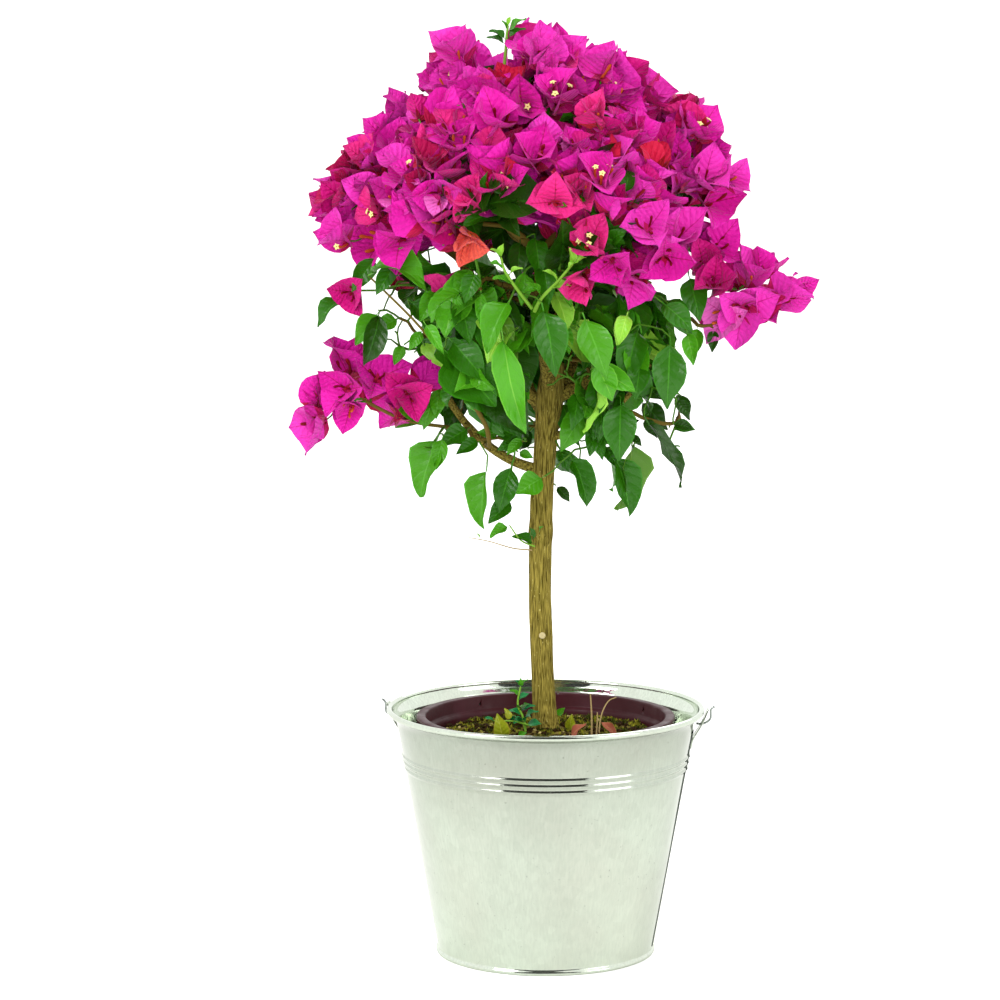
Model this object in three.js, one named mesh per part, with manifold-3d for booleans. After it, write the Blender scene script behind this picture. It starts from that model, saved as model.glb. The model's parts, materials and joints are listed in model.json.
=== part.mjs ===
// A bougainvillea trained as a standard: one bare stem under a round head of magenta bracts.
// It grows in a plastic nursery pot that stands inside a galvanised bucket.
// Millimetres, +Z up, with the origin in the middle of the bucket's flat underside.
// -Y is the front. Azimuth 0 is +X, the viewer's right, and 90 is +Y, the back.

import * as THREE from "three";
import { mergeVertices } from "three/addons/utils/BufferGeometryUtils.js";
import Module from "manifold-3d";

const wasm = await Module();
wasm.setup();

const GAP = 0.3;                    // clearance between two pieces that touch

// Bucket
const BUCKET_HEIGHT = 180;
const RIM_RADIUS = 115;             // outside of the rolled rim
const ROLL_RADIUS = 2.1;            // the roll itself
const FOOT_RADIUS = 77.5;
const SHOULDER_RADIUS = 107.5;      // where the mouth begins to flare
const SHOULDER_HEIGHT = 168;
const BUCKET_WALL = 1.2;
const BUCKET_FLOOR = 3;
const FOOT_CURL = 0.9;              // how far the curl round the foot stands out
const FOOT_CURL_TOP = 5.4;
const BEAD_HEIGHTS = [137, 141.5, 146];
const BEAD_HALF = 2;
const BEAD_RISE = 1.1;
const BUCKET_SIDES = 30;

// Ears: a strap bowed out from the wall up past the rim, and the wire hook that it holds
const EAR_AZIMUTHS = { right: -1, left: 168 };
const EAR_WIDTH = 13;
const EAR_THICKNESS = 1.2;
const EAR_FOOT = 150;               // heights where it leaves the wall and where it ends
const EAR_TOP = 179;
const EAR_STANDOFF = 4.6;           // opening between strap and wall
const EAR_SPLAY = 2.2;              // extra standoff that its top end has
const HOOK_HEIGHT = 168;
const HOOK_RADIUS = 0.9;
const HOOK_HOLE = 1.4;
const HOOK_RISE = 13;               // from the hole up to the tip

// Nursery pot
const POT_TOP = 174;
const POT_LIP_RADIUS = 93.5;
const POT_LIP_DROP = 4.5;
const POT_LIP_THICKNESS = 1.8;
const POT_COLLAR_RADIUS = 88;       // outside of the collar under the lip
const POT_STEP_HEIGHT = 161;        // where the collar steps in to the tapered body
const POT_BODY_RADIUS = 84.6;       // outside, just under the step
const POT_FOOT_RADIUS = 66;
const POT_WALL = 1.3;
const POT_FLOOR = 2;
const DRAIN_HOLES = 6;
const DRAIN_RADIUS = 5;
const DRAIN_CIRCLE = 40;
const POT_SIDES = 30;

// Soil
const SOIL_EDGE = 159;
const SOIL_CROWN = 165;             // level of the mound that the stem stands on
const SOIL_FLAT = 13;               // radius of the level patch under the stem
const SOIL_BUMP = 1.1;

// Stem
const STEM_FOOT = SOIL_CROWN + GAP;
const STEM_FORK = 428;
const STEM_RADIUS = 8.2;
const STEM_FLARE = 2.2;             // how much wider the foot is, and how soon that is lost
const STEM_FLARE_HEIGHT = 9;
const STEM_BOW = 5.5;               // how far it bows to the left
const STEM_LEAN = 6;                // how far its top has come back to the right
const STEM_SWAY = 2;                // how far its middle stands back
const KNOT = { height: 307, rise: 0.9, half: 7 };
const FORK = { height: 404, rise: 1.7, half: 16 };

// Crown
const CROWN_X = -10;                // the head hangs a little to the left of the pot
const DOME_REACH = 84;              // from the crown's middle out to the ring of bracts
const DOME_HEIGHT = 560;
const SKIRT_REACH = 62;             // the same for the ring of leaves under it
const SKIRT_HEIGHT = 432;
const MASS_ROUGHNESS = 0.13;        // depth of a mass's swellings, of its half size

const ZINC = { color: 0xc9d2cb, roughness: 0.38, metalness: 0.9 };
const WIRE = { color: 0xa9b0ac, roughness: 0.35, metalness: 0.9 };
const PLASTIC = { color: 0x4a1a2e, roughness: 0.45, metalness: 0 };
const SOIL = { color: 0x3a2a18, roughness: 0.95, metalness: 0 };
const BARK = { color: 0x8a7440, roughness: 0.85, metalness: 0 };
const LEAF = { color: 0x2f8f1f, roughness: 0.5, metalness: 0 };
const BRACT = { color: 0xc8149a, roughness: 0.6, metalness: 0 };

const { degToRad, lerp, smoothstep } = THREE.MathUtils;
const WELD = 1e-4;                  // corners closer than this are one
const plant = new THREE.Group();

// ---------------------------------------------------------------- helpers

// A solid from a three.js geometry: corners merged, and triangles with no area left out.
function solidOf(geometry) {
  const bare = new THREE.BufferGeometry();
  bare.setAttribute("position", geometry.attributes.position);
  if (geometry.index) bare.setIndex(geometry.index);
  const merged = mergeVertices(bare, WELD);
  const corner = merged.index.array;
  const kept = [];
  for (let i = 0; i < corner.length; i += 3) {
    const [a, b, c] = corner.slice(i, i + 3);
    if (a !== b && b !== c && c !== a) kept.push(a, b, c);
  }
  return new wasm.Manifold(new wasm.Mesh({
    numProp: 3,
    vertProperties: new Float32Array(merged.attributes.position.array),
    triVerts: new Uint32Array(kept),
  }));
}

// The largest single body of a solid, for a cut that leaves crumbs.
function largest(solid) {
  return solid.decompose().reduce((a, b) => (a.volume() >= b.volume() ? a : b));
}

function addNode(name, solid, finish) {
  const mesh = solid.getMesh();
  const geometry = new THREE.BufferGeometry();
  geometry.setAttribute("position", new THREE.BufferAttribute(mesh.vertProperties, 3));
  geometry.setIndex(new THREE.BufferAttribute(mesh.triVerts, 1));
  geometry.computeVertexNormals();
  const node = new THREE.Mesh(geometry, new THREE.MeshStandardMaterial(finish));
  node.name = name;
  plant.add(node);
}

// A geometry turned about +Z from an outline of [radius, height] that runs up its outside.
function turned(outline, sides) {
  const points = outline.map(([radius, height]) => new THREE.Vector2(radius, height));
  return new THREE.LatheGeometry(points, sides).rotateX(Math.PI / 2);
}

// Points of an arc in the plane of an outline, angles in degrees from the outward radius.
function arc(radius, height, size, from, to, steps) {
  return Array.from({ length: steps + 1 }, (_, i) => {
    const angle = degToRad(lerp(from, to, i / steps));
    return [radius + size * Math.cos(angle), height + size * Math.sin(angle)];
  });
}

// A bell curve of height 1, for a swelling at one place.
function bell(distance, half) {
  return Math.exp(-((distance / half) ** 2));
}

// A tapering round limb: a cylinder whose rings are laid along a curve.
function limb(curve, radiusAt, sides, rings) {
  const straight = new THREE.CylinderGeometry(1, 1, 1, sides, rings);
  const frames = curve.computeFrenetFrames(rings, false);
  const place = straight.attributes.position;
  for (let i = 0; i < place.count; i += 1) {
    const along = place.getY(i) + 0.5;
    const ring = Math.round(along * rings);
    const radius = radiusAt(along);
    const at = curve.getPointAt(along)
      .addScaledVector(frames.normals[ring], -place.getX(i) * radius)
      .addScaledVector(frames.binormals[ring], place.getZ(i) * radius);
    place.setXYZ(i, at.x, at.y, at.z);
  }
  return solidOf(straight);
}

// ---------------------------------------------------------------- bucket and ears

function bucketRadius(height) {
  return lerp(FOOT_RADIUS, SHOULDER_RADIUS, height / SHOULDER_HEIGHT);
}

// The outside of the wall, from under the foot curl to the top of the rolled rim.
function bucketOutside() {
  const beads = BEAD_HEIGHTS.flatMap((middle) => [
    [bucketRadius(middle - BEAD_HALF), middle - BEAD_HALF],
    [bucketRadius(middle) + BEAD_RISE, middle],
    [bucketRadius(middle + BEAD_HALF), middle + BEAD_HALF],
  ]);
  return [
    [FOOT_RADIUS - FOOT_CURL, 0],
    [FOOT_RADIUS + FOOT_CURL, 1.2],
    [FOOT_RADIUS + FOOT_CURL, 4],
    [bucketRadius(FOOT_CURL_TOP), FOOT_CURL_TOP],
    ...beads,
    [SHOULDER_RADIUS, SHOULDER_HEIGHT],
    [SHOULDER_RADIUS + 1.6, SHOULDER_HEIGHT + 4],
    [SHOULDER_RADIUS + 4.2, SHOULDER_HEIGHT + 7.4],
    ...arc(RIM_RADIUS - ROLL_RADIUS, BUCKET_HEIGHT - ROLL_RADIUS, ROLL_RADIUS, -60, 90, 3),
  ];
}

function makeBucket() {
  return solidOf(turned([
    [0, 0],
    ...bucketOutside(),
    ...arc(RIM_RADIUS - ROLL_RADIUS, BUCKET_HEIGHT - ROLL_RADIUS, ROLL_RADIUS, 120, 190, 2),
    [SHOULDER_RADIUS + 2.2, SHOULDER_HEIGHT + 7.2],
    [SHOULDER_RADIUS - BUCKET_WALL, SHOULDER_HEIGHT],
    [bucketRadius(BUCKET_FLOOR) - BUCKET_WALL, BUCKET_FLOOR],
    [0, BUCKET_FLOOR],
  ], BUCKET_SIDES));
}

// The room that the bucket takes up, with the clearance added.
function bucketRoom() {
  const outside = bucketOutside().map(([radius, height]) => [radius + GAP, height]);
  return solidOf(turned([[0, 0], ...outside, [0, BUCKET_HEIGHT]], BUCKET_SIDES));
}

// An ear is a strap in the plane through the bucket's axis, so its side view is drawn as an
// outline and extruded across. It lies on the wall at its foot and stands off it above.
function makeEar(azimuth) {
  const steps = 6;
  const inner = Array.from({ length: steps + 1 }, (_, i) => {
    const rise = i / steps;
    const height = lerp(EAR_FOOT, EAR_TOP, rise);
    const away = EAR_STANDOFF * smoothstep(rise, 0.12, 0.72) + EAR_SPLAY * rise ** 3;
    return [bucketRadius(height) + GAP + away, height];
  });
  const outer = inner.map(([radius, height]) => [radius + EAR_THICKNESS, height]);
  const [start, ...rest] = [...inner, ...outer.reverse()];
  const shape = new THREE.Shape().moveTo(...start);
  for (const point of rest) shape.lineTo(...point);
  const strap = new THREE.ExtrudeGeometry(shape, { depth: EAR_WIDTH, bevelEnabled: false });
  strap.translate(0, 0, -EAR_WIDTH / 2);
  strap.rotateX(Math.PI / 2);
  const drill = new THREE.CylinderGeometry(HOOK_HOLE, HOOK_HOLE, 12, 12).rotateZ(Math.PI / 2);
  drill.translate(bucketRadius(HOOK_HEIGHT) + 8, 0, HOOK_HEIGHT);
  const ear = solidOf(strap).subtract(bucketRoom()).subtract(solidOf(drill));
  return largest(ear.rotate([0, 0, azimuth]));
}

// The hooked end of a carrying wire: it comes out through the hole and turns up past the rim.
function makeHook(azimuth) {
  const inside = bucketRadius(HOOK_HEIGHT) + HOOK_HOLE;
  const path = new THREE.CatmullRomCurve3([
    new THREE.Vector3(inside, 0, HOOK_HEIGHT),
    new THREE.Vector3(inside + 5.4, 0, HOOK_HEIGHT),
    new THREE.Vector3(inside + 10.2, 0, HOOK_HEIGHT + 3.5),
    new THREE.Vector3(inside + 10.6, 0, HOOK_HEIGHT + 10),
    new THREE.Vector3(inside + 13.6, 0, HOOK_HEIGHT + HOOK_RISE),
  ]);
  return limb(path, () => HOOK_RADIUS, 6, 7).rotate([0, 0, azimuth]);
}

// ---------------------------------------------------------------- pot and soil

// The inside of the pot's tapered wall.
function potInner(height) {
  const rise = (height - BUCKET_FLOOR) / (POT_STEP_HEIGHT - BUCKET_FLOOR);
  return lerp(POT_FOOT_RADIUS, POT_BODY_RADIUS, rise) - POT_WALL;
}

function makeNurseryPot() {
  const foot = BUCKET_FLOOR + GAP;
  const lipUnder = POT_TOP - POT_LIP_THICKNESS;
  const lipLow = POT_TOP - POT_LIP_DROP;
  const collarInner = POT_COLLAR_RADIUS - POT_WALL;
  let pot = solidOf(turned([
    [0, foot],
    [POT_FOOT_RADIUS, foot],
    [POT_BODY_RADIUS, POT_STEP_HEIGHT],
    [POT_COLLAR_RADIUS, POT_STEP_HEIGHT + POT_WALL],
    [POT_COLLAR_RADIUS, lipUnder],
    [POT_LIP_RADIUS - POT_WALL, lipUnder],
    [POT_LIP_RADIUS - POT_WALL, lipLow],
    [POT_LIP_RADIUS, lipLow],
    [POT_LIP_RADIUS, POT_TOP - 1],
    [POT_LIP_RADIUS - 1, POT_TOP],
    [collarInner + 1, POT_TOP],
    [collarInner, POT_TOP - 1],
    [collarInner, POT_STEP_HEIGHT + 2 * POT_WALL],
    [POT_BODY_RADIUS - POT_WALL, POT_STEP_HEIGHT + 0.6],
    [potInner(foot + POT_FLOOR), foot + POT_FLOOR],
    [0, foot + POT_FLOOR],
  ], POT_SIDES));
  for (let i = 0; i < DRAIN_HOLES; i += 1) {
    const angle = (2 * Math.PI * i) / DRAIN_HOLES;
    const drill = new THREE.CylinderGeometry(DRAIN_RADIUS, DRAIN_RADIUS, 4 * POT_FLOOR, 10);
    drill.rotateX(Math.PI / 2);
    drill.translate(DRAIN_CIRCLE * Math.cos(angle), DRAIN_CIRCLE * Math.sin(angle), foot);
    pot = pot.subtract(solidOf(drill));
  }
  return pot;
}

// The soil fills the pot and rises to a mound. Its top is uneven except under the stem.
function makeSoil() {
  const bottom = BUCKET_FLOOR + GAP + POT_FLOOR + GAP;
  const lump = turned([
    [0, bottom],
    [potInner(bottom) - GAP, bottom],
    [potInner(SOIL_EDGE) - GAP, SOIL_EDGE],
    [66, SOIL_EDGE + 2],
    [48, SOIL_EDGE + 3.4],
    [30, SOIL_EDGE + 4.6],
    [SOIL_FLAT, SOIL_CROWN],
    [0, SOIL_CROWN],
  ], POT_SIDES);
  const place = lump.attributes.position;
  for (let i = 0; i < place.count; i += 1) {
    const [x, y, z] = [place.getX(i), place.getY(i), place.getZ(i)];
    if (z < SOIL_EDGE + 1 || Math.hypot(x, y) < SOIL_FLAT + 1) continue;
    const wave = Math.sin(0.11 * x + 1) + Math.cos(0.13 * y + 0.05 * x);
    place.setZ(i, z + (SOIL_BUMP * wave) / 2);
  }
  return solidOf(lump);
}

// ---------------------------------------------------------------- stem and boughs

// The stem's middle line at a height: it bows to the left and comes back at the top.
function stemAt(height) {
  const rise = (height - STEM_FOOT) / (STEM_FORK - STEM_FOOT);
  const x = -STEM_BOW * Math.sin(0.95 * Math.PI * rise) + STEM_LEAN * rise ** 2;
  return new THREE.Vector3(x, STEM_SWAY * Math.sin(Math.PI * rise), height);
}

function stemRadius(height) {
  const flare = STEM_FLARE * Math.exp((STEM_FOOT - height) / STEM_FLARE_HEIGHT);
  const knot = KNOT.rise * bell(height - KNOT.height, KNOT.half);
  const fork = FORK.rise * bell(height - FORK.height, FORK.half);
  return STEM_RADIUS + flare + knot + fork;
}

// The stem's rings stay level, so that its foot is a flat level cut. grow makes it larger
// all round, for the room that its neighbours leave it.
function makeStem(grow = 0) {
  const stem = new THREE.CylinderGeometry(1, 1, 1, 12, 16).rotateX(Math.PI / 2);
  const place = stem.attributes.position;
  for (let i = 0; i < place.count; i += 1) {
    const rise = place.getZ(i) + 0.5;
    const height = lerp(STEM_FOOT, STEM_FORK, rise);
    const middle = stemAt(height);
    const radius = stemRadius(height) + grow;
    const level = height + (rise === 0 ? -grow : 0) + (rise === 1 ? grow : 0);
    place.setXYZ(i, middle.x + place.getX(i) * radius, middle.y + place.getY(i) * radius, level);
  }
  return solidOf(stem);
}

// Each bough leaves the stem at a height and an azimuth, runs out nearly level for a part of
// its reach and then turns up. radius is its foot's and tip its far end's.
const BOUGHS = [
  { name: "bough_low_left", from: 352, azimuth: 183, reach: 74, rise: 62, radius: 3.9, tip: 2.2 },
  { name: "bough_left", from: 398, azimuth: 160, reach: 64, rise: 100, radius: 4.8, tip: 2.8 },
  { name: "bough_right", from: 404, azimuth: 8, reach: 70, rise: 84, radius: 5.4, tip: 3 },
  { name: "bough_right_low", from: 376, azimuth: 338, reach: 72, rise: 46, radius: 3, tip: 1.8 },
  { name: "bough_front", from: 412, azimuth: 262, reach: 58, rise: 96, radius: 4.6, tip: 2.8 },
  { name: "bough_back_left", from: 390, azimuth: 118, reach: 66, rise: 92, radius: 4.6, tip: 2.6 },
  { name: "bough_low_back", from: 362, azimuth: 86, reach: 46, rise: 14, radius: 2.8, tip: 2 },
  { name: "bough_back_right", from: 400, azimuth: 62, reach: 66, rise: 90, radius: 4.6, tip: 2.6 },
];
const BOUGH_BEND = { out: 0.62, up: 0.12 };   // where it turns up, of its reach and rise

function makeBough({ from, azimuth, reach, rise, radius, tip }, grow = 0) {
  const start = stemAt(from);
  const out = new THREE.Vector3(Math.cos(degToRad(azimuth)), Math.sin(degToRad(azimuth)), 0);
  const bend = start.clone().addScaledVector(out, BOUGH_BEND.out * reach);
  bend.z += BOUGH_BEND.up * rise;
  const end = start.clone().addScaledVector(out, reach);
  end.z += rise;
  const curve = new THREE.QuadraticBezierCurve3(start, bend, end);
  return limb(curve, (along) => lerp(radius, tip, along) + grow, 7, 6);
}

// ---------------------------------------------------------------- masses

// Seven masses of bracts make the dome. out and lift are from DOME_REACH and DOME_HEIGHT,
// and half is a mass's half size in X, Y and Z.
const DOME = [
  { name: "blossom_top", azimuth: 0, out: 0.04, lift: 62, half: [95, 82, 53] },
  { name: "blossom_right", azimuth: 5, out: 1.05, lift: 6, half: [60, 64, 68] },
  { name: "blossom_back_right", azimuth: 62, out: 1, lift: 2, half: [60, 62, 68] },
  { name: "blossom_back_left", azimuth: 120, out: 1, lift: 0, half: [62, 62, 64] },
  { name: "blossom_left", azimuth: 178, out: 1.16, lift: -14, half: [58, 64, 62] },
  { name: "blossom_front_left", azimuth: 236, out: 0.98, lift: -2, half: [62, 60, 64] },
  { name: "blossom_front_right", azimuth: 300, out: 1, lift: -12, half: [66, 62, 76] },
];

// Three sprays of bracts arch out past the dome.
const SPRAYS = [
  { name: "blossom_spray_left", at: [-132, -20, 408], half: [60, 34, 42], seed: 1.3 },
  { name: "blossom_spray_right", at: [142, -18, 482], half: [56, 36, 38], seed: 2.9 },
  { name: "blossom_spray_back", at: [26, 128, 476], half: [46, 32, 40], seed: 4.1 },
];

// Six masses of leaves hang as a skirt under the dome.
const SKIRT = [
  { name: "leaves_right", azimuth: 5, out: 1.14, lift: 4, half: [38, 46, 60] },
  { name: "leaves_back_right", azimuth: 65, out: 1.12, lift: 8, half: [40, 42, 60] },
  { name: "leaves_back_left", azimuth: 122, out: 1.1, lift: 4, half: [40, 42, 60] },
  { name: "leaves_left", azimuth: 180, out: 1.24, lift: 18, half: [46, 46, 58] },
  { name: "leaves_front_left", azimuth: 238, out: 1.06, lift: 14, half: [40, 38, 62] },
  { name: "leaves_front_right", azimuth: 300, out: 1.02, lift: 12, half: [42, 38, 64] },
];

// Lower masses of leaves hang round the foot of the crown, clear of the bare stem.
const HANGING = [
  { name: "leaves_left_tip", at: [-84, -22, 356], half: [20, 22, 26], seed: 4.4 },
  { name: "leaves_low_right", at: [52, -18, 358], half: [32, 30, 36], seed: 5.1 },
  { name: "leaves_right_tip", at: [92, -8, 386], half: [18, 24, 44], seed: 6.3 },
  { name: "leaves_low_back", at: [2, 50, 356], half: [40, 26, 36], seed: 7.7 },
];

// This one hangs from the low left bough, which runs on over it.
const UNDER_BOUGH = { name: "leaves_low_left", at: [-44, -13, 336], half: [25, 27, 35], seed: 3.2 };

// A closed uneven lump: a ball with swellings and hollows of its own, stretched to its half
// sizes. grow makes it larger all round.
function lump({ at, half, seed }, grow = 0) {
  const ball = mergeVertices(
    new THREE.IcosahedronGeometry(1, 2).deleteAttribute("normal").deleteAttribute("uv"),
    WELD,
  );
  const place = ball.attributes.position;
  const way = new THREE.Vector3();
  for (let i = 0; i < place.count; i += 1) {
    way.fromBufferAttribute(place, i);
    const swell = Math.sin(3.1 * way.x + seed) * Math.cos(2.7 * way.y + 2 * seed)
      + 0.7 * Math.sin(5.3 * way.z + 3 * seed + 2 * way.x)
      + 0.5 * Math.cos(6.1 * way.y - 4 * way.x + 5 * seed);
    const size = 1 + (MASS_ROUGHNESS * swell) / 1.6;
    way.set(...half.map((side, axis) => way.getComponent(axis) * (side * size + grow)));
    place.setXYZ(i, ...way);
  }
  ball.translate(...at);
  return solidOf(ball);
}

// Masses of one ring, placed round the crown's middle line, each with a seed of its own.
function ringOf(rows, reach, height, seedStep) {
  return rows.map((mass, i) => {
    const angle = degToRad(mass.azimuth);
    const out = mass.out * reach;
    const at = [CROWN_X + out * Math.cos(angle), out * Math.sin(angle), height + mass.lift];
    return { ...mass, at, seed: seedStep * (i + 0.4) };
  });
}

// ---------------------------------------------------------------- assembly

addNode("bucket", makeBucket(), ZINC);
for (const [side, azimuth] of Object.entries(EAR_AZIMUTHS)) {
  addNode(`ear_${side}`, makeEar(azimuth), ZINC);
  addNode(`hook_${side}`, makeHook(azimuth), WIRE);
}
addNode("nursery_pot", makeNurseryPot(), PLASTIC);
addNode("soil", makeSoil(), SOIL);
addNode("stem", makeStem(), BARK);

// Each mass is cut back from the stem and from the masses before it.
let taken = makeStem(GAP);
function addMasses(rows, finish) {
  for (const mass of rows) {
    addNode(mass.name, largest(lump(mass).subtract(taken)), finish);
    taken = taken.add(lump(mass, GAP));
  }
}
addMasses(ringOf(DOME, DOME_REACH, DOME_HEIGHT, 1.7), BRACT);
addMasses(SPRAYS, BRACT);
addMasses(ringOf(SKIRT, SKIRT_REACH, SKIRT_HEIGHT, 2.3), LEAF);
addMasses(HANGING, LEAF);

// Each bough is cut back from the stem and ends where it enters a mass.
for (const bough of BOUGHS) {
  addNode(bough.name, largest(makeBough(bough).subtract(taken)), BARK);
  taken = taken.add(makeBough(bough, GAP));
}
addMasses([UNDER_BOUGH], LEAF);

export default plant;
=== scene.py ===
# %% [markdown]
# A bougainvillea standard is a climbing shrub that a grower has trained on one bare stem.
# The head is clipped round, so leafy shoots hang under a dome of papery magenta bracts.
# This one grows in a plastic nursery pot that stands in a galvanised bucket.
# The solid model is loaded first. It fixes every size, and each step below dresses a part of it.
# %% Load the solid model
import json
import math

import bpy
import numpy as np
from mathutils import Matrix, Vector, noise
from mathutils.bvhtree import BVHTree

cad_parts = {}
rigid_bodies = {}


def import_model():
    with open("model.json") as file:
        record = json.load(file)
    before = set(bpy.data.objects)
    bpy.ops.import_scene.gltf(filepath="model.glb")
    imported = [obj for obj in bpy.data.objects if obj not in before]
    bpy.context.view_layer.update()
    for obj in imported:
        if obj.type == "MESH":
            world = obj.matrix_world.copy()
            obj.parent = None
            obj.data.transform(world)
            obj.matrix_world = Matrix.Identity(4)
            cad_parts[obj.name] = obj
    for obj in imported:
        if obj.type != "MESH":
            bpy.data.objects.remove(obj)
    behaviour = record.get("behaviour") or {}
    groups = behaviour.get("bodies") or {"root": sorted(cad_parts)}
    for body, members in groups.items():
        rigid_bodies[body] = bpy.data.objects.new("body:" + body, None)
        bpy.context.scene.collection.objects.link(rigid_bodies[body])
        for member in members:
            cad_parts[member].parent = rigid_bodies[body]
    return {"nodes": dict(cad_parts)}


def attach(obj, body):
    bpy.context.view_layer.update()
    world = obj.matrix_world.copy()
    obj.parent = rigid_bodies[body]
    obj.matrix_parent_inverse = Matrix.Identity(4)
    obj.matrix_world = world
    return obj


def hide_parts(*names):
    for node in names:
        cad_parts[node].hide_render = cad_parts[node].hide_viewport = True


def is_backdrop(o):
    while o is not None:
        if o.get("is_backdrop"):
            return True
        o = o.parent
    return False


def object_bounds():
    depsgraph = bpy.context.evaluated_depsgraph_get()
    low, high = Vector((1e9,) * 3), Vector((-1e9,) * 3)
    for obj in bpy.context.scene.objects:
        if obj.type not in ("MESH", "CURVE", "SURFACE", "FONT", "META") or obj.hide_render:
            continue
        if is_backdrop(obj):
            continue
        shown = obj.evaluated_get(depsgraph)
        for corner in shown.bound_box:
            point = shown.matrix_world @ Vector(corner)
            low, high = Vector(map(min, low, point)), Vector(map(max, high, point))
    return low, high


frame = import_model()
nodes = frame["nodes"]
cad_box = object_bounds()
mm = 0.001
chance = np.random.default_rng(11)
print(len(nodes), "solids, from", [round(v, 3) for v in cad_box[0]])
print("to", [round(v, 3) for v in cad_box[1]])

# %% [markdown]
# A camera far away with a long lens keeps a plant's proportions, as a catalogue picture does.
# It stands a little above the head of the plant and looks slightly down, into the bucket.
# %% Camera
camera = bpy.data.objects.new("camera", bpy.data.cameras.new("camera"))
bpy.context.scene.collection.objects.link(camera)
camera.location = (0, -2.746, 0.692)
camera.rotation_euler = (math.radians(82.5), 0, math.radians(0.688))
camera.data.lens = 138.8
camera.data.sensor_width = 36
bpy.context.scene.camera = camera
bpy.context.scene.view_settings.view_transform = "Standard"
print("camera", tuple(camera.location), "lens", camera.data.lens)

# %% [markdown]
# A few helpers are used all the way through. Two turn a list of corners and faces into an
# object in the scene. The next turns a paint-chart colour into the linear numbers that Blender
# mixes. The others list the faces of a closed tube and of an open sheet and the steps round a
# circle, and find a compass direction and the way that stands off an axis at some angle.
# %% Mesh and colour helpers
def new_object(name, data):
    made = bpy.data.objects.new(name, data)
    bpy.context.scene.collection.objects.link(made)
    return made


def make_piece(name, corners, faces, finishes, slots=None, smooth=True):
    mesh = bpy.data.meshes.new(name)
    mesh.from_pydata(np.asarray(corners, float).tolist(), [], [list(f) for f in faces])
    for finish in finishes:
        mesh.materials.append(finish)
    if slots is not None:
        mesh.polygons.foreach_set("material_index", slots)
    mesh.polygons.foreach_set("use_smooth", [smooth] * len(faces))
    mesh.update()
    return new_object(name, mesh)


def colour(chart):
    parts = [int(chart[i:i + 2], 16) / 255 for i in (0, 2, 4)]
    linear = [p / 12.92 if p <= 0.04045 else ((p + 0.055) / 1.055) ** 2.4 for p in parts]
    return (*linear, 1)


def ring_faces(rows, sides):
    faces = []
    for row in range(rows - 1):
        for side in range(sides):
            a = row * sides + side
            b = row * sides + (side + 1) % sides
            faces.append((a, b, b + sides, a + sides))
    faces.append(tuple(reversed(range(sides))))
    faces.append(tuple(range((rows - 1) * sides, rows * sides)))
    return faces


def sheet_cells(rows, columns):
    for row in range(rows - 1):
        for step in range(columns - 1):
            a = row * columns + step
            yield row, step, (a, a + 1, a + 1 + columns, a + columns)


def round_steps(sides):
    return [2 * math.pi * side / sides for side in range(sides)]


def compass(degrees, lift=0.0):
    return Vector((math.cos(math.radians(degrees)), math.sin(math.radians(degrees)), lift))


def off_axis(axis, side, turn):
    return side * math.cos(turn) + axis.cross(side) * math.sin(turn)


print("helpers ready")

# %% [markdown]
# Every finish starts from the same shader. Colour, shine and sheen that are the same all over
# are typed straight into it. What changes over a surface comes from small node groups, built
# once and shared. The first is a cloudy mottle, a mask that most finishes use somewhere.
# The helpers add a mask, a colour ramp, a mix or a change of range, to a finish or to another
# group alike. The last one makes a plain finish whose only detail is a fine grain in the bump.
# %% Shader helpers
def group_of(name, inputs, outputs):
    group = bpy.data.node_groups.new(name, "ShaderNodeTree")
    for label, kind, value in inputs:
        socket = group.interface.new_socket(name=label, in_out="INPUT", socket_type=kind)
        if value is not None:
            socket.default_value = value
    for label, kind in outputs:
        group.interface.new_socket(name=label, in_out="OUTPUT", socket_type=kind)
    return group, group.nodes.new("NodeGroupInput"), group.nodes.new("NodeGroupOutput")


def tree_of(host):
    return getattr(host, "node_tree", host)


def add_node(host, kind, **settings):
    node = tree_of(host).nodes.new(kind)
    for key, value in settings.items():
        setattr(node, key, value)
    return node


def finish_of(name, chart, rough, gloss=0.5, **extra):
    finish = bpy.data.materials.new(name)
    finish.use_nodes = True
    finish.diffuse_color = colour(chart)
    settings = {"Base Color": colour(chart), "Roughness": rough, "Specular IOR Level": gloss, **extra}
    for label, value in settings.items():
        label = label.replace("_", " ")
        finish.node_tree.nodes["Principled BSDF"].inputs[label].default_value = value
    return finish


def feed(host, socket, value):
    if isinstance(value, bpy.types.NodeSocket):
        tree_of(host).links.new(value, socket)
    else:
        socket.default_value = colour(value) if isinstance(value, str) else value


cloud_group, source, target = group_of(
    "cloud_mottle",
    [("Stretch", "NodeSocketVector", (1, 1, 1)), ("Scale", "NodeSocketFloat", 20.0),
     ("Detail", "NodeSocketFloat", 4.0)],
    [("Mask", "NodeSocketFloat")],
)
place = add_node(cloud_group, "ShaderNodeTexCoord")
spread = add_node(cloud_group, "ShaderNodeVectorMath", operation="MULTIPLY")
cloud = add_node(cloud_group, "ShaderNodeTexNoise")
feed(cloud_group, spread.inputs[0], place.outputs["Object"])
feed(cloud_group, spread.inputs[1], source.outputs["Stretch"])
feed(cloud_group, cloud.inputs["Vector"], spread.outputs[0])
feed(cloud_group, cloud.inputs["Scale"], source.outputs["Scale"])
feed(cloud_group, cloud.inputs["Detail"], source.outputs["Detail"])
feed(cloud_group, target.inputs["Mask"], cloud.outputs["Fac"])


def cloud_on(host, stretch=(1, 1, 1), scale=20.0, detail=4.0):
    node = add_node(host, "ShaderNodeGroup", node_tree=cloud_group)
    for label, value in (("Stretch", stretch), ("Scale", scale), ("Detail", detail)):
        feed(host, node.inputs[label], value)
    return node.outputs["Mask"]


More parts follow.
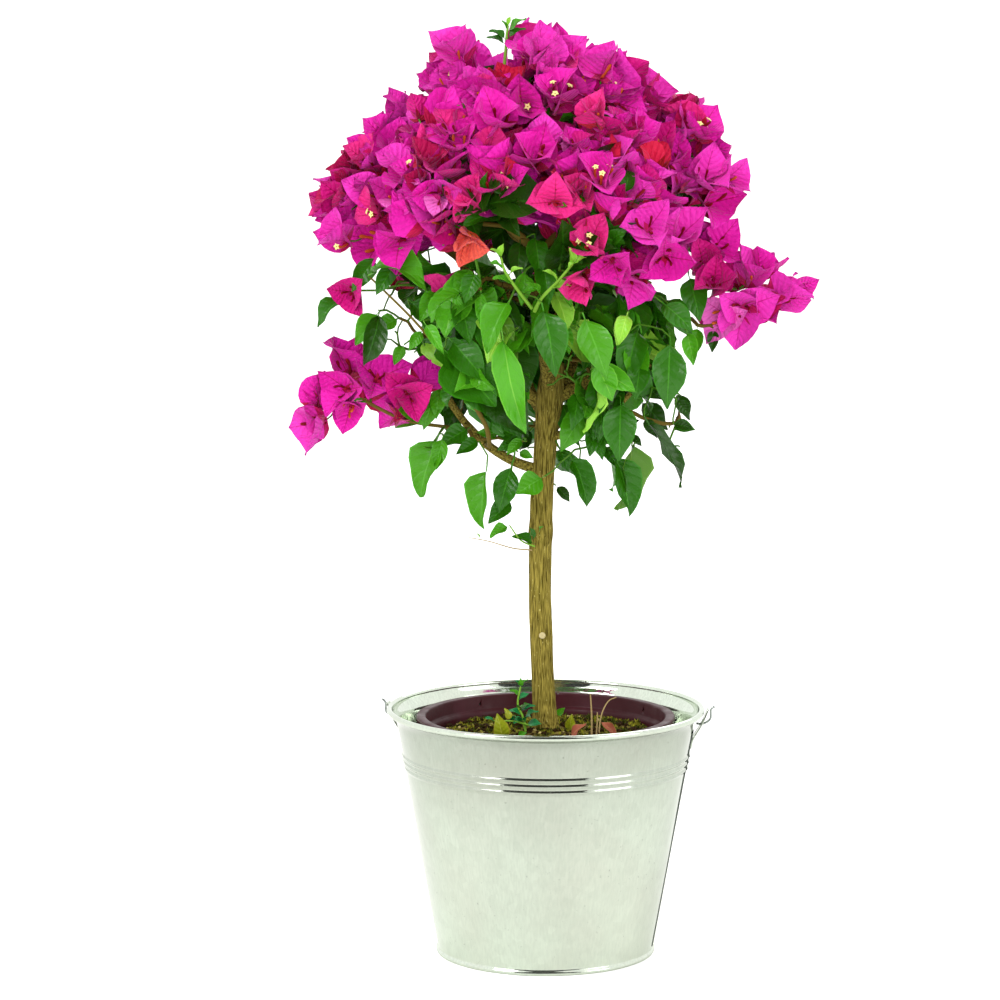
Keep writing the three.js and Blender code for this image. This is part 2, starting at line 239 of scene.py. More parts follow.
def ramp_on(host, mask, stops):
    ramp = add_node(host, "ShaderNodeValToRGB")
    for at, chart in stops[1:-1]:
        ramp.color_ramp.elements.new(at)
    for element, (at, chart) in zip(ramp.color_ramp.elements, stops):
        element.position = at
        element.color = colour(chart)
    feed(host, ramp.inputs["Fac"], mask)
    return ramp.outputs["Color"]


def mix_on(host, mask, under, over, blend="MIX"):
    mix = add_node(host, "ShaderNodeMix", data_type="RGBA", blend_type=blend)
    for number, value in ((0, mask), (6, under), (7, over)):
        feed(host, mix.inputs[number], value)
    return mix.outputs[2]


def range_on(host, mask, low, high, to_low, to_high):
    scale = add_node(host, "ShaderNodeMapRange")
    for label, value in (("Value", mask), ("From Min", low), ("From Max", high),
                         ("To Min", to_low), ("To Max", to_high)):
        feed(host, scale.inputs[label], value)
    return scale.outputs["Result"]


def shader_link(finish, label, value):
    feed(finish, finish.node_tree.nodes["Principled BSDF"].inputs[label], value)


def bump_on(finish, height, strength, distance):
    bump = add_node(finish, "ShaderNodeBump")
    bump.inputs["Strength"].default_value = strength
    bump.inputs["Distance"].default_value = distance
    feed(finish, bump.inputs["Height"], height)
    shader_link(finish, "Normal", bump.outputs["Normal"])


def grained(name, chart, rough, grain, strength, distance, stretch=(1, 1, 1), **extra):
    finish = finish_of(name, chart, rough, **extra)
    bump_on(finish, cloud_on(finish, stretch, grain), strength, distance)
    return finish


print("shader helpers ready")

# %% [markdown]
# A floor and wide soft light are all a studio needs. The background glows evenly. The key lamp,
# above and to the left, models the blossom, and a weaker fill opens up the right side. A lamp
# near the camera brightens the front, but mirrors don't see it, and a rim lamp stands behind.
# A dark panel that only mirrors see stands behind the camera. Bare metal looks like metal
# because it shows bright and dark areas of the room, and the panel gives it the dark one.
# A narrowing strip of the same stuff overhead does this for the flared inside of the rim.
# The floor glows a little for the eye alone, so that it stays white as far as one can see.
# The background is seen a little brighter than it lights matt surfaces, for the same reason.
# %% Floor, background and lamps
seen_glow, matt_glow = 1.17, 1.1
lamp_target = Vector((0, 0, 0.4))


def studio_finish(name, chart, glow):
    finish = finish_of(name, chart, 0.9, gloss=0.1, Emission_Color=(1, 1, 1, 1))
    by_eye = add_node(finish, "ShaderNodeLightPath")
    amount = add_node(finish, "ShaderNodeMath", operation="MULTIPLY")
    feed(finish, amount.inputs[0], by_eye.outputs["Is Camera Ray"])
    feed(finish, amount.inputs[1], glow)
    shader_link(finish, "Emission Strength", amount.outputs[0])
    return finish


def sheet_of(name, corners, finish):
    sheet = make_piece(name, corners, [(0, 1, 2, 3)], [finish], smooth=False)
    sheet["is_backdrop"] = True
    return sheet


sheet_of("floor", [(-400, -400, 0), (400, -400, 0), (400, 400, 0), (-400, 400, 0)],
         studio_finish("pale_floor", "ecece9", 0.5))
for name, corners in (
    ("dark_panel", [(-2.1, -2.95, 0.01), (2.1, -2.95, 0.01), (2.1, -2.95, 3.0), (-2.1, -2.95, 3.0)]),
    ("dark_canopy", [(-1.5, -2.95, 3.0), (1.5, -2.95, 3.0), (0.3, -0.6, 3.0), (-0.3, -0.6, 3.0)]),
):
    dark = sheet_of(name, corners, studio_finish(name, "0c0c0c", 0))
    dark.visible_camera = False
    dark.visible_diffuse = False
    dark.visible_shadow = False

world = bpy.data.worlds.new("studio")
world.use_nodes = True
backdrop = world.node_tree.nodes["Background"]
looked_at = add_node(world, "ShaderNodeLightPath")
glow = range_on(world, looked_at.outputs["Is Diffuse Ray"], 0.0, 1.0, seen_glow, matt_glow)
feed(world, backdrop.inputs["Color"], "ffffff")
feed(world, backdrop.inputs["Strength"], glow)
bpy.context.scene.world = world


def lamp(name, place, size, power):
    light = bpy.data.lights.new(name, "AREA")
    light.size = size
    light.energy = power
    lamp_object = new_object(name, light)
    lamp_object.location = place
    lamp_object.rotation_euler = (lamp_target - Vector(place)).to_track_quat("-Z", "Y").to_euler()
    return lamp_object


lamp("front", (0.2, -2.65, 0.8), 0.8, 24).visible_glossy = False
lamp("key", (-2.3, -1.9, 2.6), 1.4, 50)
lamp("fill", (2.7, -1.7, 1.6), 1.6, 18)
lamp("rim", (0.6, 2.4, 2.2), 1.6, 20)
print("floor, panel and", len(bpy.data.lights), "lamps")

# %% [markdown]
# Galvanised steel is dipped in molten zinc, which freezes in flat crystals called spangle.
# Neighbouring crystals differ a little in brightness and shine, and the whole is pale and
# slightly green. A cell pattern gives the crystals and clouds of dull oxide lie over them.
# That is one node group, and two finishes use it. The outer wall also gets a painted shade
# that grows darker upwards, for the dimmer reflection under the rim, and stops at the rolled rim.
# The inside has no painted shade. Fine clouds that are drawn out upwards look like brush marks.
# %% Zinc finish
zinc_group, source, target = group_of(
    "zinc_spangle",
    [("Crystals", "NodeSocketFloat", 150.0)],
    [("Tint", "NodeSocketColor"), ("Shine", "NodeSocketFloat"), ("Dents", "NodeSocketFloat")],
)
place = add_node(zinc_group, "ShaderNodeTexCoord")
cells = add_node(zinc_group, "ShaderNodeTexVoronoi")
feed(zinc_group, cells.inputs["Vector"], place.outputs["Object"])
feed(zinc_group, cells.inputs["Scale"], source.outputs["Crystals"])
tint = ramp_on(zinc_group, cells.outputs["Color"], [(0.0, "d7e1d1"), (1.0, "e0eada")])
oxide = range_on(zinc_group, cloud_on(zinc_group, scale=13.0, detail=7.0), 0.40, 0.70, 0.0, 0.4)
tint = mix_on(zinc_group, oxide, tint, "c6c4b7")
brushed = range_on(zinc_group, cloud_on(zinc_group, (1, 1, 0.12), 700.0, 3.0), 0.35, 0.7, 0.0, 0.35)
tint = mix_on(zinc_group, brushed, tint, "bec7b9")
specks = range_on(zinc_group, cloud_on(zinc_group, scale=420.0, detail=2.0), 0.70, 0.76, 0.0, 0.5)
feed(zinc_group, target.inputs["Tint"], mix_on(zinc_group, specks, tint, "8d938a"))
shine = range_on(zinc_group, cloud_on(zinc_group, scale=34.0, detail=5.0), 0.3, 0.7, 0.05, 0.13)
feed(zinc_group, target.inputs["Shine"], shine)
feed(zinc_group, target.inputs["Dents"], cloud_on(zinc_group, scale=60.0, detail=3.0))


painted_shade_top = 180 * mm


def zinc_of(name, painted_shade_stops=None):
    finish = finish_of(name, "ccd6c6", 0.2, Metallic=0.95)
    spangle = add_node(finish, "ShaderNodeGroup", node_tree=zinc_group)
    tint = spangle.outputs["Tint"]
    # The stops are a painted shade, multiplied over the spangle by height.
    if painted_shade_stops:
        place = add_node(finish, "ShaderNodeTexCoord")
        upward = add_node(finish, "ShaderNodeSeparateXYZ")
        feed(finish, upward.inputs[0], place.outputs["Object"])
        height_share = range_on(finish, upward.outputs["Z"], 0.0, painted_shade_top, 0.0, 1.0)
        tint = mix_on(finish, 1.0, tint, ramp_on(finish, height_share, painted_shade_stops), "MULTIPLY")
    shader_link(finish, "Base Color", tint)
    shader_link(finish, "Roughness", spangle.outputs["Shine"])
    bump_on(finish, spangle.outputs["Dents"], 0.08, 0.002)
    return finish


# Painted shade on the outer wall: darker towards the top, white again on the roll.
zinc = zinc_of("galvanised_zinc", [(0.0, "ffffff"), (0.45, "f6f6f6"), (0.8, "e2e2e2"),
                                   (0.9, "d8d8d8"), (0.972, "d0d0d0"), (0.985, "ffffff")])
zinc_inside = zinc_of("galvanised_inside")
wire = grained("galvanised_wire", "a9b0ac", 0.35, 900.0, 0.1, 0.0004, Metallic=0.95)
print("zinc and wire finishes")

# %% [markdown]
# The bucket is spun from sheet: a straight taper, three pressed beads that stiffen it, a
# mouth that flares into a rolled rim and a small curl round the foot. One outline turned
# round the axis gives all of it, inside and out, so the wall has its real thickness.
# A slow noise pushes the wall in and out by half a millimetre, because thin sheet is never
# quite round. The faces after the rim's roll belong to the inside and get its finish.
# %% Bucket
foot_radius, shoulder_radius, shoulder_height = 77.5 * mm, 107.5 * mm, 168 * mm
wall, rim_radius, bucket_height, roll = 1.2 * mm, 115 * mm, 180 * mm, 2.1 * mm
bead_heights, bead_size, bead_width = (137 * mm, 141.5 * mm, 146 * mm), 0.96 * mm, 1.25 * mm
bucket_sides, out_of_round = 144, 0.5 * mm


def bucket_radius(height):
    return foot_radius + (shoulder_radius - foot_radius) * height / shoulder_height


def bead_rise(height):
    return sum(bead_size * math.exp(-(((height - bead) / bead_width) ** 2)) for bead in bead_heights)


def arc(radius, height, size, start, end, steps):
    angles = np.radians(np.linspace(start, end, steps))
    return [(radius + size * math.cos(a), height + size * math.sin(a)) for a in angles]


def wall_line(heights, inset):
    return [(bucket_radius(h) + bead_rise(h) - inset, h) for h in heights]


def turn_outline(name, outline, sides, finish):
    outline = np.array(outline)
    angles = np.linspace(0, 2 * math.pi, sides, endpoint=False)
    corners = []
    for radius, height in outline:
        for angle in angles:
            dent = Vector((2.2 * math.cos(angle), 2.2 * math.sin(angle), 12 * height))
            push = out_of_round * noise.noise(dent)
            r = radius + push * min(1, radius / (40 * mm))
            corners.append((r * math.cos(angle), r * math.sin(angle), height))
    return make_piece(name, corners, ring_faces(len(outline), sides), [finish])


plain = np.linspace(7 * mm, 131 * mm, 22)
beaded = np.linspace(133 * mm, 150 * mm, 52)
upper = np.linspace(152 * mm, 167 * mm, 5)
flare = [(0.2, 1), (0.7, 2.6), (1.6, 4.2), (2.9, 5.8), (4.2, 7.4)]
wall_heights = np.concatenate([plain, beaded, upper])
outside = [(40 * mm, 1.6 * mm), (foot_radius - 5 * mm, 1.6 * mm)]
outside += arc(foot_radius + 0.2 * mm, 1.9 * mm, 1.9 * mm, -125, 65, 12)
outside.append((bucket_radius(4.6 * mm), 4.6 * mm))
outside += wall_line(wall_heights, 0.0)
outside += [(shoulder_radius + out * mm, shoulder_height + up * mm) for out, up in flare]
outside += arc(rim_radius - roll, bucket_height - roll, roll, -70, 200, 16)
outer_faces = (len(outside) - 1) * bucket_sides
outside += [(shoulder_radius + (out - 1.2) * mm, shoulder_height + up * mm) for out, up in flare[3::-1]]
outside += wall_line(wall_heights[::-1], wall)
outside += [(bucket_radius(4 * mm) - wall - 1 * mm, 3.4 * mm), (70 * mm, 3 * mm), (40 * mm, 3 * mm)]
bucket = turn_outline("bucket_shell", outside, bucket_sides, zinc)
bucket.data.materials.append(zinc_inside)
inner = [int(face >= outer_faces) for face in range(len(bucket.data.polygons))]
bucket.data.polygons.foreach_set("material_index", inner)
print("bucket rim", rim_radius * 2, "m across,", len(bucket.data.polygons), "faces")

# %% [markdown]
# The sheet is closed by a side seam, one edge lapped over the other and soldered. It runs
# from the foot curl up to the ear on the right side. A flat strip laid on the wall shows it,
# and its front edge is dark grey: partly dirt in the lap, partly a painted shade under the edge.
# %% Side seam
def wall_point(azimuth, height, away):
    radius = bucket_radius(height) + bead_rise(height) + away
    return (radius * math.cos(azimuth), radius * math.sin(azimuth), height)


seam_heights = np.concatenate([np.linspace(6 * mm, 131 * mm, 12), beaded, upper[:4]])
profile = [(-14.9, -0.15), (-14.6, 0.45), (-13.7, 0.5), (-6.0, 0.6), (2.6, 0.5), (3.0, -0.15)]
dark_lap_steps = 2
# The lapped edge is painted dark grey: partly dirt in the lap, partly a painted shade under the edge.
solder = grained("solder", "4c524c", 0.5, 500.0, 0.3, 0.0005, Metallic=0.6)
seam_corners = []
for height in seam_heights:
    for across, away in profile:
        turn = across * mm / bucket_radius(height)
        seam_corners.append(wall_point(turn, height, away * mm))
seam_cells = list(sheet_cells(len(seam_heights), len(profile)))
seam_faces = [face for row, step, face in seam_cells]
seam_zones = [int(step < dark_lap_steps) for row, step, face in seam_cells]
seam = make_piece("side_seam", seam_corners, seam_faces, [zinc, solder], seam_zones)
print("seam", round(float(seam_heights[-1] - seam_heights[0]), 3), "m long")

# %% [markdown]
# Each ear is a short strap, pinched flat on the wall at its foot and bowed away above, with
# a hole for the carrying wire. A strip follows its side view and gets its thickness and its
# soft edges from two modifiers. The hooked wire end is a thin tube laid along a curve.
# %% Ears and wire hooks
ear_turns = {"right": -1, "left": 168}


def smooth_step(value, low, high):
    share = min(1, max(0, (value - low) / (high - low)))
    return share * share * (3 - 2 * share)


def finished_mesh(piece):
    graph = bpy.context.evaluated_depsgraph_get()
    return bpy.data.meshes.new_from_object(piece.evaluated_get(graph), depsgraph=graph)


def apply_modifiers(piece):
    mesh = finished_mesh(piece)
    piece.modifiers.clear()
    old = piece.data
    piece.data = mesh
    mesh.name = piece.name
    if old.users == 0:
        bpy.data.batch_remove([old])
    return piece


def turned_about(points, degrees):
    matrix = Matrix.Rotation(math.radians(degrees), 4, "Z")
    return [tuple(matrix @ Vector(p)) for p in points]


def make_ear(side):
    rows, across = 19, 7
    hole_rows, hole_steps = (11, 12), (2, 3)
    corners = []
    for row in range(rows):
        rise = row / (rows - 1)
        height = (150.5 + 28.2 * rise) * mm
        flared = 0.055 * max(0, height - shoulder_height) * 14
        away = 0.6 + 4.6 * smooth_step(rise, 0.12, 0.72) + 2.2 * rise ** 3
        radius = bucket_radius(height) + (0.3 + away) * mm + 0.1 * flared
        half = (6.3 - 1.6 * smooth_step(rise, 0.75, 1.0)) * mm
        for step in range(across):
            y = half * (2 * step / (across - 1) - 1)
            corners.append((radius - 0.4 * mm * (y / half) ** 2, y, height))
    faces = [face for row, step, face in sheet_cells(rows, across)
             if row not in hole_rows or step not in hole_steps]
    ear = make_piece("ear_strap_" + side, turned_about(corners, ear_turns[side]), faces, [zinc])
    thick = ear.modifiers.new("thickness", "SOLIDIFY")
    thick.thickness = 1.1 * mm
    thick.offset = 0
    soft = ear.modifiers.new("edges", "BEVEL")
    soft.width = 0.3 * mm
    soft.segments = 2
    return apply_modifiers(ear)


def tube(points, radii, sides):
    points = [Vector(p) for p in points]
    corners = []
    side_way = None
    for i, point in enumerate(points):
        ahead = (points[min(i + 1, len(points) - 1)] - points[max(i - 1, 0)]).normalized()
        if side_way is None:
            side_way = ahead.orthogonal().normalized()
        side_way = (side_way - ahead * side_way.dot(ahead)).normalized()
        for angle in round_steps(sides):
            corners.append(tuple(point + off_axis(ahead, side_way, angle) * radii[i]))
    return corners, ring_faces(len(points), sides)


def rounded(points, per_gap):
    points = [Vector(p) for p in points]
    ends = [points[0] * 2 - points[1], *points, points[-1] * 2 - points[-2]]
    path = []
    for a, b, c, d in zip(ends, ends[1:], ends[2:], ends[3:]):
        for step in range(per_gap):
            t = step / per_gap
            path.append(0.5 * (2 * b + (c - a) * t + (2 * a - 5 * b + 4 * c - d) * t ** 2
                               + (3 * b - a - 3 * c + d) * t ** 3))
    return path + [points[-1]]


def make_hook(side):
    wire_height, wire_radius = 168, 0.85 * mm
    inside = bucket_radius(wire_height * mm) + 1.4 * mm
    bends = [(0, 0), (5.4, 0), (10.2, 3.5), (10.6, 10), (13.2, 12.6)]
    path = rounded([(inside + out * mm, 0, (wire_height + up) * mm) for out, up in bends], 5)
    corners, faces = tube(path, [wire_radius] * len(path), 10)
    return make_piece("wire_hook_" + side, turned_about(corners, ear_turns[side]), faces, [wire])


ears = {side: make_ear(side) for side in ear_turns}
hooks = {side: make_hook(side) for side in ear_turns}
print("ears", [len(e.data.polygons) for e in ears.values()], "faces")

# %% [markdown]
# The nursery pot is thin moulded plastic, dark maroon and a little shiny where it was
# polished by handling. Its lip is turned over and a small ledge runs round inside.
# It is turned from one outline. A row of short rods is then cut out of it: six drain holes
# in the floor, four small holes in the collar and a notch in the lip.
# %% Nursery pot
pot_plastic = finish_of("maroon_plastic", "3a0f15", 0.4, gloss=0.2)
scuffs = range_on(pot_plastic, cloud_on(pot_plastic, (1, 1, 0.35), 55.0, 6.0), 0.5, 0.8, 0.0, 0.6)
shader_link(pot_plastic, "Base Color", mix_on(pot_plastic, scuffs, "3a0f15", "4e222c"))
shader_link(pot_plastic, "Roughness",
            range_on(pot_plastic, cloud_on(pot_plastic, scale=80.0), 0.3, 0.7, 0.32, 0.55))
bump_on(pot_plastic, cloud_on(pot_plastic, scale=300.0), 0.06, 0.001)

pot_line = [
    (20, 3.4), (64.5, 3.4), (66, 4.6), (84.6, 160.6), (85.2, 161.2), (87.4, 161.8), (88, 162.6),
    (88, 171.4), (88.6, 171.9), (91.4, 171.9), (92.0, 171.4), (92.2, 169.9), (92.9, 169.5),
    (93.5, 170.0), (93.5, 172.8), (93.1, 173.7), (92.3, 174.0), (88.0, 174.0), (87.1, 173.7),
    (86.7, 172.8), (86.7, 164.6), (86.3, 163.8), (84.2, 162.9), (83.6, 162.0), (83.2, 160),
    (64.9, 6.0), (63.5, 5.4), (20, 5.4),
]
pot_sides, drain_holes, drain_circle, drain_radius = 120, 6, 40 * mm, 5 * mm
nursery_pot = turn_outline(
    "nursery_pot_shell", [(r * mm, h * mm) for r, h in pot_line], pot_sides, pot_plastic
)
drill_corners, drill_faces = [], []
bits = []
for turn in round_steps(drain_holes):
    at = Vector((drain_circle * math.cos(turn), drain_circle * math.sin(turn), 0))
    bits.append(([at + Vector((0, 0, z * mm)) for z in (1, 9)], drain_radius))
side_bits = [(azimuth, 168, 1) for azimuth in (34, 124, 214, 304)] + [(84, 173.6, 0.8)]
for azimuth, height, radius in side_bits:
    ends = [compass(azimuth) * r * mm + Vector((0, 0, height * mm)) for r in (80, 100)]
    bits.append((ends, radius * mm))
for line, radius in bits:
    corners, faces = tube(line, [radius] * 2, 20)
    drill_faces += [tuple(i + len(drill_corners) for i in f) for f in faces]
    drill_corners += corners
drill = make_piece("drill", drill_corners, drill_faces, [pot_plastic])
cut = nursery_pot.modifiers.new("holes", "BOOLEAN")
cut.object = drill
cut.operation = "DIFFERENCE"
apply_modifiers(nursery_pot)
bpy.data.batch_remove([drill])
print("pot", len(nursery_pot.data.polygons), "faces")

# %% [markdown]
# The compost is dark and crumbly, mossy in places, and mounds up towards the stem.
# A disc of rings is raised by noise for its lumps. It goes on down inside the pot as a
# closed body. The colour mixes wet compost, dry fibre and moss with three cloud masks.
# %% Compost
compost = finish_of("compost", "33220f", 0.95, gloss=0.1)
fibre = ramp_on(compost, cloud_on(compost, scale=260.0, detail=8.0),
                [(0.38, "0a0501"), (0.7, "988444")])
moss_mask = range_on(compost, cloud_on(compost, scale=38.0, detail=5.0), 0.46, 0.6, 0.0, 0.85)
moss_tint = ramp_on(compost, cloud_on(compost, scale=420.0, detail=4.0),
                    [(0.34, "1c1e03"), (0.68, "98942f")])
shader_link(compost, "Base Color", mix_on(compost, moss_mask, fibre, moss_tint))
bump_on(compost, cloud_on(compost, scale=330.0, detail=8.0), 0.9, 0.003)


def soil_height(x, y):
    away = math.hypot(x, y) / mm
    mound = np.interp(away, [0, 13, 30, 48, 66, 84], [165, 165, 163.4, 162, 160, 157.6])
    lumps = noise.noise(Vector((x, y, 0)) * 70) * 3.2 + noise.noise(Vector((x, y, 1)) * 260) * 2.2
    settle = smooth_step(away, 9, 18)
    return (mound + lumps * settle) * mm


soil_rings, soil_sides, first_ring, last_ring = 44, 128, 0.8, 82.4
hidden_rings = ((82.0, 150), (64.6, 6.2), (1.0, 6.2))
soil_corners = []
for ring in range(soil_rings):
    radius = (first_ring + (last_ring - first_ring) * ring / (soil_rings - 1)) * mm
    for angle in round_steps(soil_sides):
        x, y = radius * math.cos(angle), radius * math.sin(angle)
        soil_corners.append((x, y, soil_height(x, y)))
for radius, height in hidden_rings:
    for angle in round_steps(soil_sides):
        soil_corners.append((radius * mm * math.cos(angle), radius * mm * math.sin(angle), height * mm))
soil_rows = soil_rings + len(hidden_rings)
soil_faces = [tuple(reversed(face)) for face in ring_faces(soil_rows, soil_sides)]
soil = make_piece("compost_body", soil_corners, soil_faces, [compost])
print("compost", len(soil.data.polygons), "faces")

# %% [markdown]
# Leaves, bracts, crumbs and flowers are each one small shape repeated hundreds of times.
# One node tree does them all. It takes points that carry a turn, a size and a pick, puts
# the picked shape on each, makes the copies real and gives each zone its own material.
# A copy's turn is worked out from two ways: where it points and where its face looks.
# %% The dealing tree
def wire_up(tree, *links):
    for start, output, end, entry in links:
        tree.links.new(start.outputs[output], end.inputs[entry])


def geometry_tree(name, inputs, output):
    tree = bpy.data.node_groups.new(name, "GeometryNodeTree")
    sockets = {}
    for label, kind in inputs:
        made = tree.interface.new_socket(name=label, in_out="INPUT", socket_type="NodeSocket" + kind)
        sockets[label] = made.identifier
    tree.interface.new_socket(name=output, in_out="OUTPUT", socket_type="NodeSocketGeometry")
    return tree, sockets, add_node(tree, "NodeGroupInput"), add_node(tree, "NodeGroupOutput")


zone_labels = ("Main", "Second", "Third")


def deal_tree():
    inputs = [("Points", "Geometry"), ("Shapes", "Collection")]
    inputs += [(label, "Material") for label in zone_labels]
    tree, sockets, entry, leave = geometry_tree("deal_out", inputs, "Copies")
    shapes = add_node(tree, "GeometryNodeCollectionInfo", transform_space="ORIGINAL")
    shapes.inputs["Separate Children"].default_value = True
    shapes.inputs["Reset Children"].default_value = True
    named = {}
    for label, kind in (("turn", "FLOAT_VECTOR"), ("size", "FLOAT"), ("pick", "INT"), ("zone", "INT")):
        named[label] = add_node(tree, "GeometryNodeInputNamedAttribute", data_type=kind)
        named[label].inputs["Name"].default_value = label
    turn = add_node(tree, "FunctionNodeEulerToRotation")
    copies = add_node(tree, "GeometryNodeInstanceOnPoints")
    copies.inputs["Pick Instance"].default_value = True
    real = add_node(tree, "GeometryNodeRealizeInstances")
    wire_up(
        tree,
        (entry, "Shapes", shapes, "Collection"),
        (entry, "Points", copies, "Points"),
        (shapes, "Instances", copies, "Instance"),
        (named["pick"], "Attribute", copies, "Instance Index"),
        (named["turn"], "Attribute", turn, "Euler"),
        (turn, "Rotation", copies, "Rotation"),
        (named["size"], "Attribute", copies, "Scale"),
        (copies, "Instances", real, "Geometry"),
    )
    last = real
    for number, label in enumerate(zone_labels):
        same = add_node(tree, "FunctionNodeCompare", data_type="INT", operation="EQUAL")
        same.inputs[3].default_value = number
        paint = add_node(tree, "GeometryNodeSetMaterial")
        wire_up(
            tree,
            (named["zone"], "Attribute", same, 2),
            (same, "Result", paint, "Selection"),
            (entry, label, paint, "Material"),
            (last, "Geometry", paint, "Geometry"),
        )
        last = paint
    wire_up(tree, (last, "Geometry", leave, "Copies"))
    return tree, sockets


dealing, deal_sockets = deal_tree()


def shape_set(name, shapes):
    keep = bpy.data.collections.new(name)
    for number, (corners, faces, zones, flat) in enumerate(shapes):
        mesh = bpy.data.meshes.new(f"{name}_{number:02d}")
        mesh.from_pydata([tuple(c) for c in corners], [], faces)
        mesh.polygons.foreach_set("use_smooth", [True] * len(faces))
        mesh.attributes.new("zone", "INT", "FACE").data.foreach_set("value", zones)
        if flat is not None:
            layer = mesh.uv_layers.new(name="blade")
            spots = np.array([flat[v] for f in faces for v in f], float)
            layer.data.foreach_set("uv", spots.ravel())
        keep.objects.link(bpy.data.objects.new(mesh.name, mesh))
    return keep


def deal(name, shapes, items, finishes):
    mesh = bpy.data.meshes.new(name)
    mesh.from_pydata([tuple(item[0]) for item in items], [], [])
    turns = np.array([tuple(item[1]) for item in items], float).ravel()
    mesh.attributes.new("turn", "FLOAT_VECTOR", "POINT").data.foreach_set("vector", turns)
    mesh.attributes.new("size", "FLOAT", "POINT").data.foreach_set("value", [i[2] for i in items])
    mesh.attributes.new("pick", "INT", "POINT").data.foreach_set("value", [i[3] for i in items])
    piece = new_object(name, mesh)
    nodes_of = piece.modifiers.new("deal", "NODES")
    nodes_of.node_group = dealing
    nodes_of[deal_sockets["Shapes"]] = shapes
    for label, finish in zip(zone_labels, (*finishes, finishes[0], finishes[0])):
        nodes_of[deal_sockets[label]] = finish
    apply_modifiers(piece)
    if "zone" in piece.data.attributes:
        piece.data.attributes.remove(piece.data.attributes["zone"])
    return piece


def triangles(piece):
    return sum(len(f.vertices) - 2 for f in piece.data.polygons)


def pose_of(along, face_up, droop=0.0):
    way = Vector(along).normalized()
    up = Vector(face_up) - way * Vector(face_up).dot(way)
    up = up.normalized() if up.length > 1e-4 else way.orthogonal().normalized()
    y = way * math.cos(droop) - up * math.sin(droop)
    z = way * math.sin(droop) + up * math.cos(droop)
    return Matrix((y.cross(z), y, z)).transposed().to_euler()


print("dealing tree with", len(dealing.nodes), "nodes")

# %% [markdown]
# Loose crumbs, pale grains of perlite and tufts of moss lie on the compost. Each is a
# small shape with nine to twenty faces, set down at random spots on the surface. Moss keeps
# to damp patches, so its spots are kept only where a slow noise is high. The darker moss
# reaches a little past the bright one.
# %% Crumbs, perlite and moss
def lump_shape(seed, squash):
    golden = (1 + 5 ** 0.5) / 2
    raw = [(-1, golden, 0), (1, golden, 0), (-1, -golden, 0), (1, -golden, 0),
           (0, -1, golden), (0, 1, golden), (0, -1, -golden), (0, 1, -golden),
           (golden, 0, -1), (golden, 0, 1), (-golden, 0, -1), (-golden, 0, 1)]
    faces = [(0, 11, 5), (0, 5, 1), (0, 1, 7), (0, 7, 10), (0, 10, 11), (1, 5, 9), (5, 11, 4),
             (11, 10, 2), (10, 7, 6), (7, 1, 8), (3, 9, 4), (3, 4, 2), (3, 2, 6), (3, 6, 8),
             (3, 8, 9), (4, 9, 5), (2, 4, 11), (6, 2, 10), (8, 6, 7), (9, 8, 1)]
    local = np.random.default_rng(seed)
    corners = np.array(raw) / 1.9 * local.uniform(0.7, 1.25, (12, 1)) * (1, 1, squash)
    return corners, faces, [0] * 20, None


def moss_shape(seed):
    local = np.random.default_rng(seed)
    blades = 9
    corners, faces = [], []
    for _ in range(blades):
        turn, lean = local.uniform(0, 2 * math.pi), local.uniform(0.1, 0.9)
        way = np.array([math.cos(turn) * lean, math.sin(turn) * lean, 1])
        side = np.array([-math.sin(turn), math.cos(turn), 0]) * 0.22
        base = np.array([math.cos(turn), math.sin(turn), 0]) * local.uniform(0, 0.5)
        first = len(corners)
        corners += [base - side, base + side, base + way * local.uniform(0.6, 1.2)]
        faces.append((first, first + 1, first + 2))
    return np.array(corners), faces, [0] * len(faces), None


grain_kinds = 5


def on_soil(count, reach, low, high, patch):
    items = []
    for _ in range(count):
        away, turn = reach * math.sqrt(chance.uniform(0.02, 1)), chance.uniform(0, 2 * math.pi)
        x, y = away * math.cos(turn) * mm, away * math.sin(turn) * mm
        if noise.noise(Vector((x, y, 5)) * 45) < patch:
            continue
        size = chance.uniform(low, high) * mm
        spot = (x, y, soil_height(x, y) + 0.2 * size)
        items.append((spot, (0, 0, chance.uniform(0, 6.28)), size, int(chance.integers(grain_kinds))))
    return items


def on_compost(name, shapes, finish, count, reach, low, high, patch=-1.0):
    made_of = grained(*finish, 900.0, 0.5, 0.001, gloss=0.1)
    return deal(name, shapes, on_soil(count, reach, low, high, patch), [made_of])


crumb_shapes = shape_set("crumb", [lump_shape(s, 0.7) for s in range(grain_kinds)])
moss_shapes = shape_set("moss", [moss_shape(s) for s in range(grain_kinds)])
scattered = [
    on_compost("loose_crumbs", crumb_shapes, ("dry_crumb", "2c1c08", 0.95), 1300, 80, 0.8, 2.8),
    on_compost("perlite_grains", crumb_shapes, ("perlite", "b8a86c", 0.9), 150, 79, 0.7, 1.9),
    on_compost("moss_tufts", moss_shapes, ("moss", "8f8c28", 0.8), 1100, 76, 1.0, 3.0, 0.0),
    on_compost("moss_low_tufts", moss_shapes, ("dark_moss", "3c440c", 0.8), 1000, 78, 1.0, 3.0, -0.15),
]
print("on the compost:", sum(triangles(piece) for piece in scattered), "triangles")

